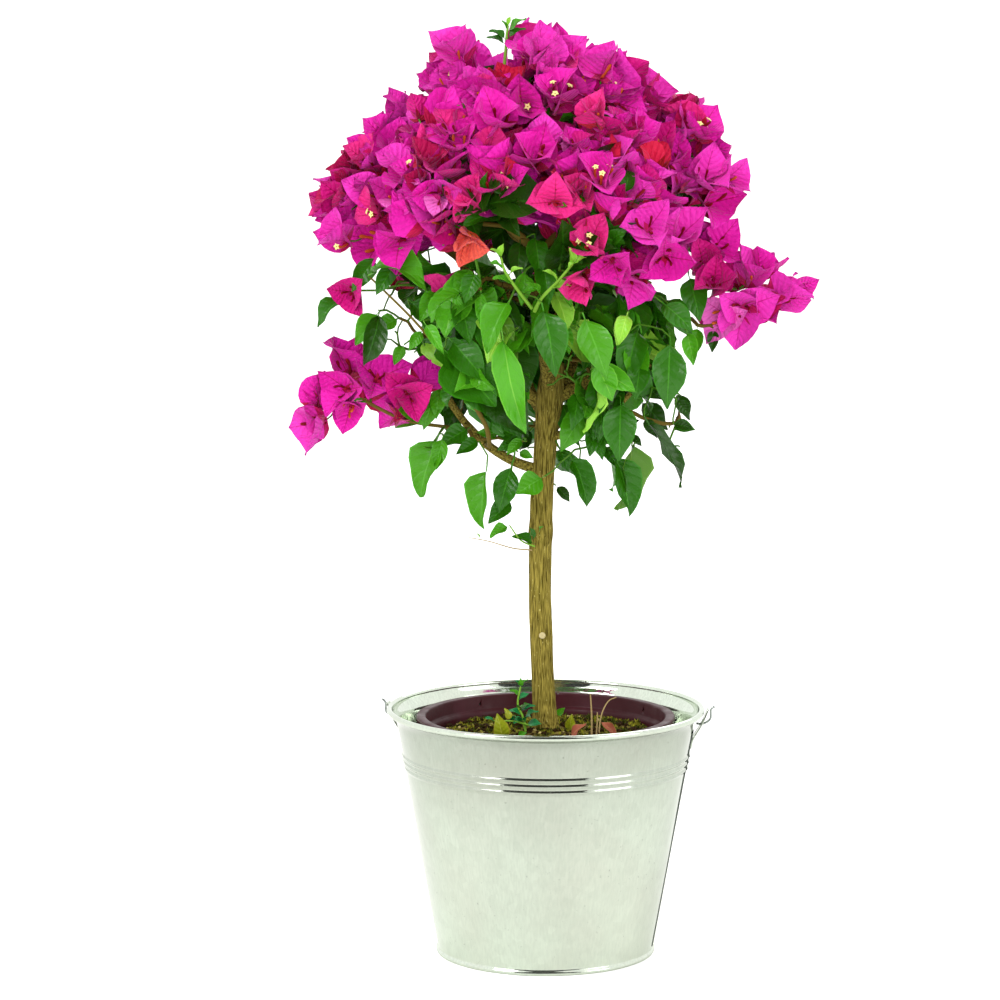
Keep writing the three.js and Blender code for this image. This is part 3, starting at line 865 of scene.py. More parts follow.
# %% [markdown]
# Bark on a young bougainvillea is olive tan and splits into long shallow fissures.
# The stem's mesh has the fissures as real relief, from noise that is stretched upwards, and
# the colour uses the same stretch, so that dark lines and grooves read as one surface.
# Boughs run every way, so their finish has the same colours without the stretch.
# %% Bark finish
bark_group, source, target = group_of(
    "bark_lines",
    [("Stretch", "NodeSocketVector", (1, 1, 1)), ("Scale", "NodeSocketFloat", 700.0)],
    [("Tint", "NodeSocketColor"), ("Height", "NodeSocketFloat")],
)
mask = cloud_on(bark_group, source.outputs["Stretch"], source.outputs["Scale"], 7.0)
tint = ramp_on(bark_group, mask, [(0.34, "3c320a"), (0.66, "a09042")])
patch = range_on(bark_group, cloud_on(bark_group, (1, 1, 0.3), 60.0, 3.0), 0.55, 0.75, 0.0, 0.4)
tint = mix_on(bark_group, patch, tint, "66601f")
flecks = range_on(bark_group, cloud_on(bark_group, (1, 1, 0.4), 800.0, 2.0), 0.66, 0.72, 0.0, 0.6)
feed(bark_group, target.inputs["Tint"], mix_on(bark_group, flecks, tint, "bdb268"))
feed(bark_group, target.inputs["Height"], mask)


def bark_of(name, stretch, scale):
    finish = finish_of(name, "7c7030", 0.9, gloss=0.06)
    lines = add_node(finish, "ShaderNodeGroup", node_tree=bark_group)
    feed(finish, lines.inputs["Stretch"], stretch)
    feed(finish, lines.inputs["Scale"], scale)
    shader_link(finish, "Base Color", lines.outputs["Tint"])
    bump_on(finish, lines.outputs["Height"], 0.6, 0.0012)
    return finish


bark = bark_of("olive_bark", (1, 1, 0.07), 1300.0)
bough_bark = bark_of("bough_bark", (1, 1, 1), 700.0)
scar_finish = grained("cut_wood", "b9ab7c", 0.8, 700.0, 0.4, 0.0006)

stem_foot, stem_fork = 165.3 * mm, 428 * mm


def stem_at(height):
    rise = (height - stem_foot) / (stem_fork - stem_foot)
    x = -5.5 * math.sin(0.95 * math.pi * rise) + 6 * rise ** 2
    return Vector((x * mm, 2 * math.sin(math.pi * rise) * mm, height))


def stem_radius(height):
    flared = 2.2 * math.exp((stem_foot - height) / (9 * mm))
    knot = 0.9 * math.exp(-(((height - 307 * mm) / (7 * mm)) ** 2))
    fork = 1.7 * math.exp(-(((height - 404 * mm) / (16 * mm)) ** 2))
    return (8.2 + flared + knot + fork) * mm


def bark_relief(angle, height, radius):
    spot = Vector((math.cos(angle) * radius * 900, math.sin(angle) * radius * 900, height * 60))
    fissure = 1 - abs(noise.noise(spot)) * 2
    wide = Vector((math.cos(angle) * 1.4, math.sin(angle) * 1.4, height * 38))
    return (0.24 * fissure + 0.45 * noise.noise(wide)) * mm - 0.2 * mm


stem_rows, stem_sides, round_top = 150, 72, 4 * mm
stem_heights = np.linspace(stem_foot - 1.2 * mm, stem_fork + round_top, stem_rows)
stem_corners = []
for height in stem_heights:
    middle = stem_at(height)
    over = max(0, height - stem_fork) / round_top
    for angle in round_steps(stem_sides):
        radius = stem_radius(height) * math.sqrt(max(0.08, 1 - over ** 2))
        radius += bark_relief(angle, height, radius)
        spot = middle + Vector((math.cos(angle), math.sin(angle), 0)) * radius
        stem_corners.append(tuple(spot))
stem = make_piece("stem_bark", stem_corners, ring_faces(stem_rows, stem_sides), [bark])
print("stem", len(stem.data.polygons), "faces, foot", round(stem_radius(stem_foot) * 2000), "mm across")

# %% [markdown]
# Where side shoots were rubbed off the stem they left scars: a short stub with pale cut
# wood, and a knuckle that is still green. They are small turned buttons set into the bark.
# %% Scars
def button(name, height, azimuth, size, stand, finishes):
    sides, bark_rows = 12, 2
    out = compass(azimuth, 0.12).normalized()
    start = stem_at(height) + out * (stem_radius(height) - 1.4 * mm)
    radii = [size, size * 1.02, size * 0.92, size * 0.6, size * 0.2]
    steps = [0, 0.6, 0.92, 1.0, 1.0]
    corners, faces = tube([start + out * (stand * s) for s in steps], radii, sides)
    slots = [int(i >= bark_rows * sides) for i in range(len(faces))]
    return make_piece(name, corners, faces, finishes, slots)


knuckle_finish = grained("green_knuckle", "4c7a22", 0.6, 600.0, 0.4, 0.0006)
stub = button("cut_stub", 232 * mm, -84, 2.6 * mm, 2.6 * mm, [bark, scar_finish])
knuckle = button("green_knuckle", 306 * mm, -128, 2.2 * mm, 2.4 * mm, [bark, knuckle_finish])
print("two scars")

# %% [markdown]
# The boughs leave the stem at a height and a compass direction, run out nearly level and
# turn up. Their places are the solid model's own. Everything finer grows on from them by a
# rule: each shoot tip looks for the nearest wood that already points its way, and a curved
# twig joins the two. Wood that carries more tips is thicker. This is how a crown fills its
# outline with few crossings, and it needs only the list of tips.
# %% Boughs
# height, compass direction, reach and rise, then the radius at the stem and at the end
boughs = {
    "low_left": (352, 183, 74, 62, 3.9, 2.2),
    "left": (398, 160, 64, 100, 4.8, 2.8),
    "right": (404, 8, 70, 84, 5.4, 3.0),
    "right_low": (376, 338, 72, 46, 3.0, 1.8),
    "front": (412, 262, 58, 96, 4.6, 2.8),
    "back_left": (390, 118, 66, 92, 4.6, 2.6),
    "low_back": (362, 86, 46, 14, 2.8, 2.0),
    "back_right": (400, 62, 66, 90, 4.6, 2.6),
}


bough_steps = 18


def bough_path(height, azimuth, reach, rise):
    start = stem_at(height * mm)
    out = compass(azimuth) * reach * mm
    bend = start + out * 0.62 + Vector((0, 0, 0.12 * rise * mm))
    end = start + out + Vector((0, 0, rise * mm))
    path = []
    for step in range(bough_steps + 1):
        t = step / bough_steps
        path.append(start * (1 - t) ** 2 + bend * 2 * t * (1 - t) + end * t ** 2)
    return path


wood_points, wood_ways, wood_parents, wood_least = [], [], [], []
strands = []


def add_strand(path, parent, least=None):
    strand = [] if parent is None else [parent]
    for i, point in enumerate(path):
        ahead = path[min(i + 1, len(path) - 1)] - path[max(i - 1, 0)]
        wood_points.append(tuple(point))
        wood_ways.append(tuple(ahead.normalized()))
        wood_parents.append(parent)
        wood_least.append(0.0 if least is None else least[i])
        parent = len(wood_points) - 1
        strand.append(parent)
    strands.append(strand)
    return strand


bough_strands = {}
for label, (height, azimuth, reach, rise, thick, thin) in boughs.items():
    path = bough_path(height, azimuth, reach, rise)
    least = np.linspace(thick, thin, len(path)) * mm
    bough_strands[label] = add_strand(path, None, list(least))
print(len(boughs), "boughs,", len(wood_points), "points of wood")

# %% [markdown]
# A crown is open as well as full. From the front the stem shows up to its fork, and so do
# the low left bough and the right fork. Each opening is a line in the upright plane of the
# stem, with a width, and nothing that grows in front of that plane may cover it.
# In a few gaps the sky shows right through, and those stay clear behind the plane as well.
# The skirt has a hem, too: below it only a few leaves hang free. A line over the dome says
# how high a blossom's foot may stand, so the head gets its own outline with a few low peaks.
# Low at the front the blossom leaves a notch, and only leaves grow there.
# %% Openings in the crown
eye = camera.location.copy()
# half width, then the line as places across and up
openings = {
    "stem": (12, [(-5, 292), (-3, 350), (0, 400), (1, 430)]),
    "low_left_bough": (6, [(-10, 351), (-50, 370), (-66, 382), (-77, 396), (-80, 408)]),
    "right_fork": (6, [(5, 406), (20, 430)]),
}
sky_gaps = {
    "left_upper": (7, [(-119, 474), (-108, 482)]),
    "left_middle": (5, [(-98, 466), (-95, 462)]),
    "left_lower": (9, [(-96, 446), (-92, 436)]),
    "beside_low_bough": (4, [(-74, 424), (-73, 410)]),
    "left_inner": (4, [(-54, 402), (-51, 392)]),
    "right_upper": (6, [(98, 482), (104, 478)]),
    "right_middle": (5, [(90, 452), (94, 444)]),
    "right_lower": (6, [(66, 412), (76, 402)]),
}
dome_line = [(-167, 515), (-140, 557), (-121, 588), (-96, 600), (-80, 608), (-70, 630), (-56, 640),
             (-40, 618), (-26, 618), (-14, 630), (-8, 648), (2, 650), (14, 636), (24, 625), (50, 620),
             (75, 617), (95, 606), (117, 593), (131, 578), (140, 545)]


def seen_at(spot):
    share = -eye.y / (spot.y - eye.y)
    return Vector((spot.x * share, eye.z + (spot.z - eye.z) * share))


def line_gap(spot, line):
    gaps = []
    for a, b in zip(line, line[1:]):
        a, run = Vector(a) * mm, (Vector(b) - Vector(a)) * mm
        share = min(1, max(0, (spot - a).dot(run) / run.length_squared))
        gaps.append((spot - a - run * share).length)
    return min(gaps)


def in_opening(spot, half):
    seen = seen_at(spot)
    if any(line_gap(seen, line) < wide * mm + half * 0.5 for wide, line in sky_gaps.values()):
        return True
    lines = openings.values() if spot.y < 2 * mm else []
    return any(line_gap(seen, line) < wide * mm + half for wide, line in lines)


hem_height = 368


def below_hem(spot):
    hem = hem_height + 9 * noise.noise(Vector((spot.x, spot.y, 0.1)) * 30)
    low_side = spot.z < 455 * mm and not -112 * mm < seen_at(spot).x < 103 * mm
    return spot.z < hem * mm or low_side


def leaf_in_opening(spot, along, size):
    way = Vector(along).normalized() * size
    parts = ((0.25, 0.1), (0.5, 0.2), (0.75, 0.14), (1.0, 0.02))
    return any(in_opening(spot + way * share, size * half) for share, half in parts)


def in_notch(spot):
    seen = seen_at(spot)
    return spot.y < -30 * mm and -44 * mm < seen.x < 10 * mm and seen.y < 536 * mm


print(len(openings), "openings and", len(sky_gaps), "sky gaps kept")

# %% [markdown]
# The tips are spread over the skin of each mass of the solid model, an even distance apart,
# and a little inside it, so that bracts and leaves end at the crown's true outline.
# Where two masses meet inside the crown no tip is needed, and a short ray finds that out.
# The most striking blossoms are placed first, and the rule fills the room between them.
# Under the outer blossoms stands a layer of deeper ones, and further in only leaves.
# The depth of a place inside the masses is handy later on: nothing may stick out far.
# %% Shoot tips on the masses
mass_names = sorted(n for n in nodes if n.startswith(("blossom_", "leaves_")))


def surface_of(name):
    mesh = nodes[name].data
    mesh.calc_loop_triangles()
    corners = np.array([v.co for v in mesh.vertices])
    return corners, np.array([t.vertices for t in mesh.loop_triangles])


surfaces = {name: surface_of(name) for name in mass_names}
all_corners, all_faces = [], []
for corners, faces in surfaces.values():
    all_faces += (faces + len(all_corners)).tolist()
    all_corners += corners.tolist()
crown_skin = BVHTree.FromPolygons(all_corners, all_faces)
mass_skins = [BVHTree.FromPolygons(c.tolist(), f.tolist()) for c, f in surfaces.values()]


def depth_in(spot):
    depths = []
    for skin in mass_skins:
        near, normal = skin.find_nearest(spot)[:2]
        gap = near - spot
        inward = gap.dot(normal)
        depths.append(inward if inward > 0.5 * gap.length else -gap.length)
    return max(depths)


dome_across, dome_up = ([value * mm for value in row] for row in zip(*dome_line))


def over_line(spot):
    seen = seen_at(spot)
    return seen.y - np.interp(seen.x, dome_across, dome_up)


def lowered(spot):
    return spot - Vector((0, 0, max(0, over_line(spot))))


def spread_on(name, spacing, tries, cover=14 * mm):
    corners, faces = surfaces[name]
    a, b, c = (corners[faces[:, i]] for i in range(3))
    cross = np.cross(b - a, c - a)
    area = np.linalg.norm(cross, axis=1)
    picks = chance.choice(len(faces), tries, p=area / area.sum())
    kept = []
    for pick in picks:
        u, v = chance.random(2)
        if u + v > 1:
            u, v = 1 - u, 1 - v
        spot = a[pick] + u * (b - a)[pick] + v * (c - a)[pick]
        normal = Vector(cross[pick] / area[pick])
        if any(np.linalg.norm(spot - k[0]) < spacing for k in kept):
            continue
        if crown_skin.ray_cast(Vector(spot) + normal * 0.6 * mm, normal, cover)[0] is not None:
            continue
        kept.append((spot, normal))
    return [(Vector(spot), normal) for spot, normal in kept]


# tint, place (across and up alone mean on the skin), way it faces, length, opening and,
# where it has any, the number of open flowers
placed_cups = [
    ("violet", (-60, 643), (-0.35, -0.45, 0.8), 33, 0.6),
    ("violet", (-4, 641), (0.05, -0.35, 0.93), 31, 0.5),
    ("magenta", (-34, 597), (-0.1, -0.75, 0.6), 35, 0.7),
    ("magenta", (-8, 570), (0.0, -0.7, 0.7), 39, 0.5),
    ("violet", (-140, -24, 518), (-0.6, -0.7, 0.2), 32, 0.65, 1),
    ("coral", (-55, 522), (0.15, -0.75, -0.55), 25, 0.6),
    ("rose", (6, 544), (0.0, -0.9, 0.3), 30, 0.7),
    ("magenta", (38, 556), (0.05, -0.7, 0.7), 34, 0.65, 3),
    ("rose", (30, 510), (-0.1, -0.8, 0.5), 31, 0.7, 3),
    ("violet", (90, 515), (0.1, -0.6, 0.7), 36, 0.5),
    ("violet", (72, 524), (0.0, -0.8, 0.4), 34, 0.75),
    ("rose", (25, 492), (-0.1, -0.8, -0.4), 32, 0.55),
    ("magenta", (47, 503), (0.0, -0.85, -0.2), 33, 0.6),
    ("violet", (62, 492), (0.15, -0.75, -0.5), 34, 0.65),
    ("magenta", (83, 506), (0.2, -0.85, -0.1), 32, 0.7),
    ("violet", (102, 518), (0.4, -0.8, 0.0), 30, 0.7),
    ("magenta", (-104, 518), (-0.1, -0.85, -0.2), 31, 0.7),
    ("violet", (124, 560), (0.6, -0.6, 0.4), 28, 0.7),
    ("violet", (111, 556), (0.35, -0.7, 0.5), 34, 0.7),
    ("violet", (38, 632), (0.1, -0.5, 0.85), 34, 0.5),
    ("rose", (36, 599), (-0.2, -0.6, 0.75), 29, 0.3),
    ("magenta", (8, 612), (0.0, -0.6, 0.8), 34, 0.7, 3),
    ("magenta", (106, 590), (0.5, -0.5, 0.7), 30, 0.8, 3),
    ("violet", (-157, -22, 390), (-0.85, -0.5, -0.2), 35, 0.85),
    ("magenta", (-153, -10, 403), (-0.85, -0.3, 0.3), 27, 0.6),
    ("magenta", (-141, -14, 422), (-0.25, -0.4, 0.85), 36, 0.5),
    ("magenta", (-140, -28, 413), (-0.5, -0.8, 0.0), 30, 0.9),
    ("magenta", (-120, -30, 420), (0.1, -0.85, 0.4), 33, 0.95),
    ("magenta", (-138, -30, 403), (-0.2, -0.8, -0.4), 26, 0.9),
    ("cerise", (-98, -30, 411), (0.3, -0.9, -0.1), 29, 0.8),
    ("cerise", (-137, -24, 482), (-0.2, -0.85, -0.1), 25, 0.8),
    ("violet", (139, -30, 472), (-0.1, -0.9, -0.1), 33, 0.95),
    ("violet", (142, -14, 487), (0.35, -0.5, 0.75), 32, 0.6),
    ("violet", (160, -20, 476), (0.9, -0.3, 0.3), 33, 0.5),
    ("cerise", (118, -34, 486), (0.0, -0.8, 0.45), 28, 0.8),
    ("pale", (128, -26, 466), (-0.4, -0.8, -0.2), 30, 0.8),
    ("cerise", (110, -24, 500), (0.2, -0.85, 0.3), 28, 0.8, 1),
    ("magenta", (118, -16, 512), (0.4, -0.6, 0.5), 28, 0.7),
    ("magenta", (140, 0, 488), (0.3, 0.7, 0.6), 30, 0.7, 1),
    ("magenta", (-126, 4, 412), (-0.2, 0.9, 0.3), 32, 0.9),
    ("magenta", (-110, -10, 586), (-0.45, -0.4, 0.75), 31, 0.6),
    ("violet", (-100, -6, 600), (-0.3, -0.3, 0.9), 29, 0.5),
]


def on_skin(x, z, inset):
    way = (Vector((x * mm, 0, z * mm)) - eye).normalized()
    hit = crown_skin.ray_cast(eye, way)[0]
    return hit + way * inset


def inset_of(normal):
    return (25 + 5 * max(0, normal.z) ** 2) * mm


def near_top_shoot(spot):
    return spot.z > 628 * mm and abs(spot.x + 29 * mm) < 14 * mm and spot.y < 12 * mm


cup_spacing, deep_spacing, inner_spacing, leaf_spacing = 19.5 * mm, 29 * mm, 30 * mm, 19 * mm
spray_spacing, cup_room = 34 * mm, 18 * mm
hem_at_front, hem_at_back = 370, 352
tips = []
taken = []


def add_tip(spot, normal, kind):
    if depth_in(spot) > 4 * mm:
        tips.append(dict(spot=spot, normal=normal, kind=kind))


for tint, place, axis, length, spread, *flowers in placed_cups:
    spot = Vector(place) * mm if len(place) == 3 else on_skin(*place, 20 * mm)
    axis = Vector(axis).normalized()
    cup = (tint, axis, length * mm, spread, sum(flowers))
    tips.append(dict(spot=spot, normal=axis, kind="cup", cup=cup))
    taken.append(spot + axis * 12 * mm)
for name in mass_names:
    if name in ("blossom_spray_left", "blossom_spray_right"):
        for spot, normal in spread_on(name, spray_spacing, 500):
            if normal.y > 0.1:
                tips.append(dict(spot=spot - normal * 25 * mm, normal=normal, kind="cup"))
    elif name.startswith("blossom_"):
        for spot, normal in spread_on(name, cup_spacing, 1200):
            if normal.z < -0.72 or min((spot - t).length for t in taken) < cup_room:
                continue
            if near_top_shoot(spot) or in_opening(spot, 12 * mm):
                continue
            kind = "notch" if in_notch(spot) else "cup"
            add_tip(lowered(spot - normal * inset_of(normal)), normal, kind)
        for spot, normal in spread_on(name, deep_spacing, 600):
            if normal.z > -0.6:
                kind = "inner" if in_notch(spot) else "deep_cup"
                add_tip(lowered(spot - normal * 44 * mm), normal, kind)
        for spot, normal in spread_on(name, inner_spacing, 400, 4 * mm):
            add_tip(lowered(spot - normal * chance.uniform(46, 66) * mm), normal, "inner")
    else:
        for spot, normal in spread_on(name, leaf_spacing, 1200):
            lift = (8 + 20 * max(0, -normal.z)) * mm
            spot = spot - normal * 15 * mm + Vector((0, 0, lift))
            if spot.z > (hem_at_back if spot.y > 20 * mm else hem_at_front) * mm:
                add_tip(spot, normal, "leafy")
tip_kinds = [tip["kind"] for tip in tips]
print(len(tips), "tips:", {kind: tip_kinds.count(kind) for kind in sorted(set(tip_kinds))})

# %% [markdown]
# The leaves that catch the eye are listed one by one: large bright ones that droop at the
# front under the dome, and low ones that hang free. Each has a tint and a form, the place
# where its stalk starts and where its tip ends. Most show their upper face to the front, and
# the others have the way that it looks as a last entry. A form has a few variants, and a
# leaf's number picks one, so it keeps its shape however the rest of the crown falls out.
# Every one of those stalks is a tip for the growing rule too, so no leaf hangs in the air.
# %% Placed leaves
front = (0, -0.9, 0.35)
placed_leaves = [
    ("mid folded", (-24, -96, 484), (-40, -106, 446), (-0.4, -0.9, 0.3)),
    ("fresh narrow", (-31, -106, 464), (-14, -95, 389), (-0.35, -0.9, 0.35)),
    ("deep open", (-3, -108, 481), (6, -114, 431), (0.2, -0.9, 0.3)),
    ("mid open", (25, -104, 474), (42, -110, 429)), ("fresh open", (33, -98, 442), (46, -92, 412)),
    ("young folded", (56, -100, 474), (50, -106, 452)),
    ("young narrow", (39, -88, 424), (25, -86, 390), (0.8, -0.6, 0.1)),
    ("deep open", (86, -80, 455), (84, -82, 405)), ("deep open", (52, -70, 412), (51, -76, 368)),
    ("shade narrow", (69, -50, 396), (96, -50, 346), (0.6, -0.6, 0.5)),
    ("deep folded", (48, -40, 371), (59, -42, 324), (0.5, -0.85, 0.2)),
    ("deep folded", (17, -30, 367), (29, -36, 330), (0.5, -0.85, 0.2)),
    ("shade folded", (7, 10, 340), (17, 10, 328)), ("mid round", (-1, -26, 351), (-21, -32, 339)),
    ("mid folded", (-42, -20, 359), (-44, -26, 313), (-0.7, -0.7, 0.3)),
    ("deep open", (-24, -14, 359), (-34, -20, 323)), ("deep open", (-24, -12, 333), (-41, -20, 316)),
    ("mid open", (-76, -20, 381), (-89, -22, 335), (-0.5, -0.8, 0.3)),
    ("mid folded", (-73, -28, 380), (-78, -30, 356)),
    ("shade curled", (-117, -48, 470), (-128, -54, 432), (0.3, -0.9, 0.3)),
    ("mid open", (-117, -40, 470), (-134, -46, 446)),
    ("mid curled", (-124, -56, 496), (-82, -80, 486), (0.0, -0.6, 0.8)),
    ("fresh narrow", (-85, -80, 466), (-71, -92, 444)),
    ("mid curled", (-57, -80, 486), (-80, -92, 466), (-0.4, -0.6, 0.7)),
    ("deep open", (-68, -70, 454), (-42, -82, 424)), ("shade open", (-49, -58, 430), (-12, -64, 384)),
    ("mid open", (-106, -26, 408), (-88, -30, 388)), ("fresh narrow", (-45, -88, 488), (-45, -94, 463)),
    ("deep open", (-48, -90, 502), (-56, -98, 480)),
    ("deep folded", (-143, -22, 478), (-161, -24, 457), (-0.4, -0.8, 0.5)),
    ("shade folded", (118, -30, 457), (117, -34, 440)),
    ("fresh folded", (98, -60, 458), (103, -64, 434)), ("deep open", (80, -88, 480), (101, -96, 461)),
    ("shade open", (92, -40, 408), (101, -44, 395)), ("shade folded", (90, -36, 390), (104, -38, 386)),
    ("deep folded", (35, -40, 386), (40, -44, 365)), ("shade folded", (60, -20, 380), (68, -22, 372)),
    ("deep folded", (10, -6, 368), (16, -8, 352)), ("mid open", (-16, -22, 378), (-28, -26, 366)),
    ("mid open", (-86, -58, 458), (-96, -64, 444)), ("deep open", (66, -76, 440), (62, -84, 412)),
    ("mid open", (-100, -40, 446), (-107, -44, 432)), ("deep open", (-8, -72, 526), (-4, -84, 496)),
    ("shade folded", (6, -70, 522), (11, -84, 494)), ("deep folded", (-2, -78, 506), (2, -92, 478)),
    ("mid folded", (9, -78, 502), (17, -92, 477)), ("shade open", (-18, -70, 522), (-20, -84, 494)),
    ("mid open", (-14, -82, 502), (-17, -94, 478)), ("deep open", (-91, -10, 450), (-76, -16, 426)),
    ("deep folded", (-81, -58, 450), (-46, -66, 423)), ("mid folded", (-70, -50, 456), (-45, -60, 427)),
    ("deep open", (-50, -40, 419), (-30, -50, 385)), ("deep open", (-14, -14, 375), (-43, -22, 388)),
    ("shade open", (-59, 14, 407), (-72, 6, 380)), ("deep open", (-78, 20, 406), (-61, 12, 380)),
    ("mid open", (-76, -24, 416), (-78, -28, 392)), ("mid open", (-79, 4, 399), (-108, -4, 383)),
    ("mid open", (-53, -14, 377), (-69, -20, 374)), ("mid open", (-33, -10, 378), (-50, -16, 381)),
    ("deep open", (-19, -16, 376), (-35, -22, 369)), ("mid open", (-20, -14, 367), (-9, -18, 363)),
    ("mid open", (-104, -20, 463), (-123, -26, 454)), ("deep folded", (-97, -40, 478), (-75, -48, 457)),
    ("fresh folded", (32, -86, 434), (62, -90, 418)), ("young folded", (57, -84, 473), (49, -88, 450)),
    ("deep folded", (65, -70, 463), (54, -76, 420)), ("mid folded", (60, -74, 456), (65, -78, 419)),
    ("mid open", (31, -34, 405), (10, -40, 370)), ("deep folded", (38, -36, 394), (31, -40, 367)),
    ("deep folded", (80, -40, 480), (102, -46, 452)), ("mid folded", (107, -30, 459), (103, -34, 436)),
    ("shade open", (92, -20, 411), (102, -24, 391)), ("deep open", (89, -20, 388), (106, -24, 384)),
    ("shade open", (31, 10, 373), (67, 4, 388)), ("deep open", (10, 6, 403), (23, 0, 370)),
    ("shade open", (67, 0, 403), (87, -6, 382)), ("deep open", (-59, -70, 480), (-53, -82, 450)),
    ("mid open", (-74, -60, 486), (-88, -70, 465)), ("deep open", (-104, -50, 505), (-119, -58, 482)),
    ("mid folded", (-53, -70, 502), (-63, -82, 481)), ("shade open", (-20, 20, 538), (-14, 16, 500)),
    ("shade open", (3, 26, 534), (-4, 22, 496)), ("deep open", (-8, 30, 524), (-14, 26, 486)),
    ("shade open", (-34, 26, 530), (-26, 20, 494)), ("deep open", (100, -34, 496), (108, -44, 463)),
    ("deep open", (-54, -18, 385), (-76, -24, 372)), ("deep folded", (-47, -16, 376), (-64, -22, 366)),
    ("mid open", (-78, -20, 413), (-87, -26, 384)), ("deep folded", (41, -30, 374), (51, -36, 358)),
    ("shade open", (66, -24, 417), (83, -30, 406)), ("shade folded", (69, -20, 392), (79, -24, 378)),
    ("deep open", (-119, -30, 508), (-137, -38, 483)),
]
cup_clear, leaf_clear = 15 * mm, 11 * mm
on_show = [(seen_at(t), t.y, cup_clear) for t in taken]
for look, foot, tip, *face in placed_leaves:
    spot, end = Vector(foot) * mm, Vector(tip) * mm
    tips.append(dict(spot=spot, normal=(end - spot).normalized(), kind="stalk"))
    middle = spot.lerp(end, 0.6)
    on_show.append((seen_at(middle), middle.y, leaf_clear))
print(len(placed_leaves), "leaves placed")

# %% [markdown]
# Now the rule grows the twigs. Tips near the boughs are joined first, so that later ones
# can branch off earlier twigs. The cost of a join is its length, made dearer where the twig
# would have to turn back on the wood that it leaves. A twig that would bow out of the crown
# is drawn again, straighter. Two long side shoots are drawn first:
# one carries the left spray, the other arches up in front of the skirt.
# %% Growing the twigs
def nearest_wood(spot):
    return int(np.linalg.norm(np.array(wood_points) - np.array(spot), axis=1).argmin())


for side_path, thick in (
    ([(-57, -4, 380), (-72, -7, 384), (-90, -11, 387), (-106, -15, 392), (-118, -18, 398),
      (-131, -16, 405)], 1.3),
    ([(-40, -24, 372), (-42, -46, 388), (-50, -60, 405), (-67, -62, 433), (-88, -60, 460),
      (-110, -56, 482), (-123, -52, 494)], 1.4),
):
    path = rounded([Vector(p) * mm for p in side_path], 4)
    add_strand(path, nearest_wood(path[0]), list(np.linspace(thick, 0.7, len(path)) * mm))


def join_tip(tip, arrive, inside):
    points = np.array(wood_points)
    ways = np.array(wood_ways)
    gap = np.array(tip) - points
    away = np.linalg.norm(gap, axis=1) + 1e-9
    straight = (gap * ways).sum(1) / away
    cost = away * (1 + 0.7 * (1 - straight)) + 4 * mm
    best = int(cost.argmin())
    start, length = Vector(wood_points[best]), float(away[best])
    leave = (Vector(wood_ways[best]) + Vector(gap[best] / away[best]) * 0.9).normalized()
    steps = max(3, int(length / (8 * mm)))
    for bow in (0.8, 0.4, 0.1):
        path = []
        for step in range(1, steps + 1):
            t = step / steps
            h1, h2 = 2 * t ** 3 - 3 * t ** 2 + 1, t ** 3 - 2 * t ** 2 + t
            h3, h4 = 3 * t ** 2 - 2 * t ** 3, t ** 3 - t ** 2
            spot = start * h1 + leave * length * bow * h2 + tip * h3 + arrive * length * bow * h4
            shake = Vector(chance.normal(0, 0.6 * mm, 3)) * (1 - abs(2 * t - 1))
            path.append(spot + shake)
        if not inside or min(depth_in(spot) for spot in path) > -2 * mm:
            break
    return add_strand(path, best)


axis_x = -10 * mm


def crown_out(spot):
    return Vector((spot.x - axis_x, spot.y, 0)).normalized()


hearts = [Vector(wood_points[s[-1]]) for s in bough_strands.values()]
tips.sort(key=lambda t: min((t["spot"] - h).length for h in hearts))
for tip in tips:
    rise = {"leafy": 0.05, "stalk": 0.2}.get(tip["kind"], 0.35)
    arrive = tip["normal"] * 0.7 + crown_out(tip["spot"]) * 0.4 + Vector((0, 0, rise))
    tip["strand"] = join_tip(tip["spot"], arrive.normalized(), tip["kind"] != "stalk")
print(len(tips), "shoots,", len(wood_points), "points of wood")

# %% [markdown]
# A tip's sap comes through every piece of wood behind it, so counting the tips that each
# point carries and taking a root of the count gives its thickness, as in a real tree.
# Wood never grows thicker away from its root, so each point is held to the one before it.
# %% Thickness of the wood
tip_radius, carry_power = 0.62 * mm, 0.36
carried = np.zeros(len(wood_points))
for tip in tips:
    point = tip["strand"][-1]
    while point is not None:
        carried[point] += 1
        point = wood_parents[point]
thickness = np.maximum(tip_radius * np.maximum(carried, 1) ** carry_power, wood_least)
for index, parent in enumerate(wood_parents):
    if parent is not None:
        thickness[index] = min(thickness[index], thickness[parent])
print("thickest twig", round(float(thickness[carried > 0].max()) * 2000, 1), "mm")

# %% [markdown]
# The strands are drawn as curves with a radius at every point. A node tree sweeps a circle
# along them. Old wood and green young shoots are two pieces, because they differ in finish.
# %% Wood tree
old_radius = 1.15 * mm


def sweep_tree():
    inputs = [("Strands", "Geometry"), ("Sides", "Int"), ("Finish", "Material")]
    tree, sockets, entry, leave = geometry_tree("sweep_wood", inputs, "Wood")
    circle = add_node(tree, "GeometryNodeCurvePrimitiveCircle")
    circle.inputs["Radius"].default_value = 1
    radius = add_node(tree, "GeometryNodeInputRadius")
    sweep = add_node(tree, "GeometryNodeCurveToMesh")
    sweep.inputs["Fill Caps"].default_value = True
    smooth = add_node(tree, "GeometryNodeSetShadeSmooth")
    real = add_node(tree, "GeometryNodeRealizeInstances")
    paint = add_node(tree, "GeometryNodeSetMaterial")
    wire_up(
        tree,
        (entry, "Sides", circle, "Resolution"),
        (entry, "Strands", sweep, "Curve"),
        (circle, "Curve", sweep, "Profile Curve"),
        (radius, "Radius", sweep, "Scale"),
        (sweep, "Mesh", smooth, "Geometry"),
        (smooth, "Geometry", real, "Geometry"),
        (real, "Geometry", paint, "Geometry"),
        (entry, "Finish", paint, "Material"),
        (paint, "Geometry", leave, "Wood"),
    )
    return tree, sockets


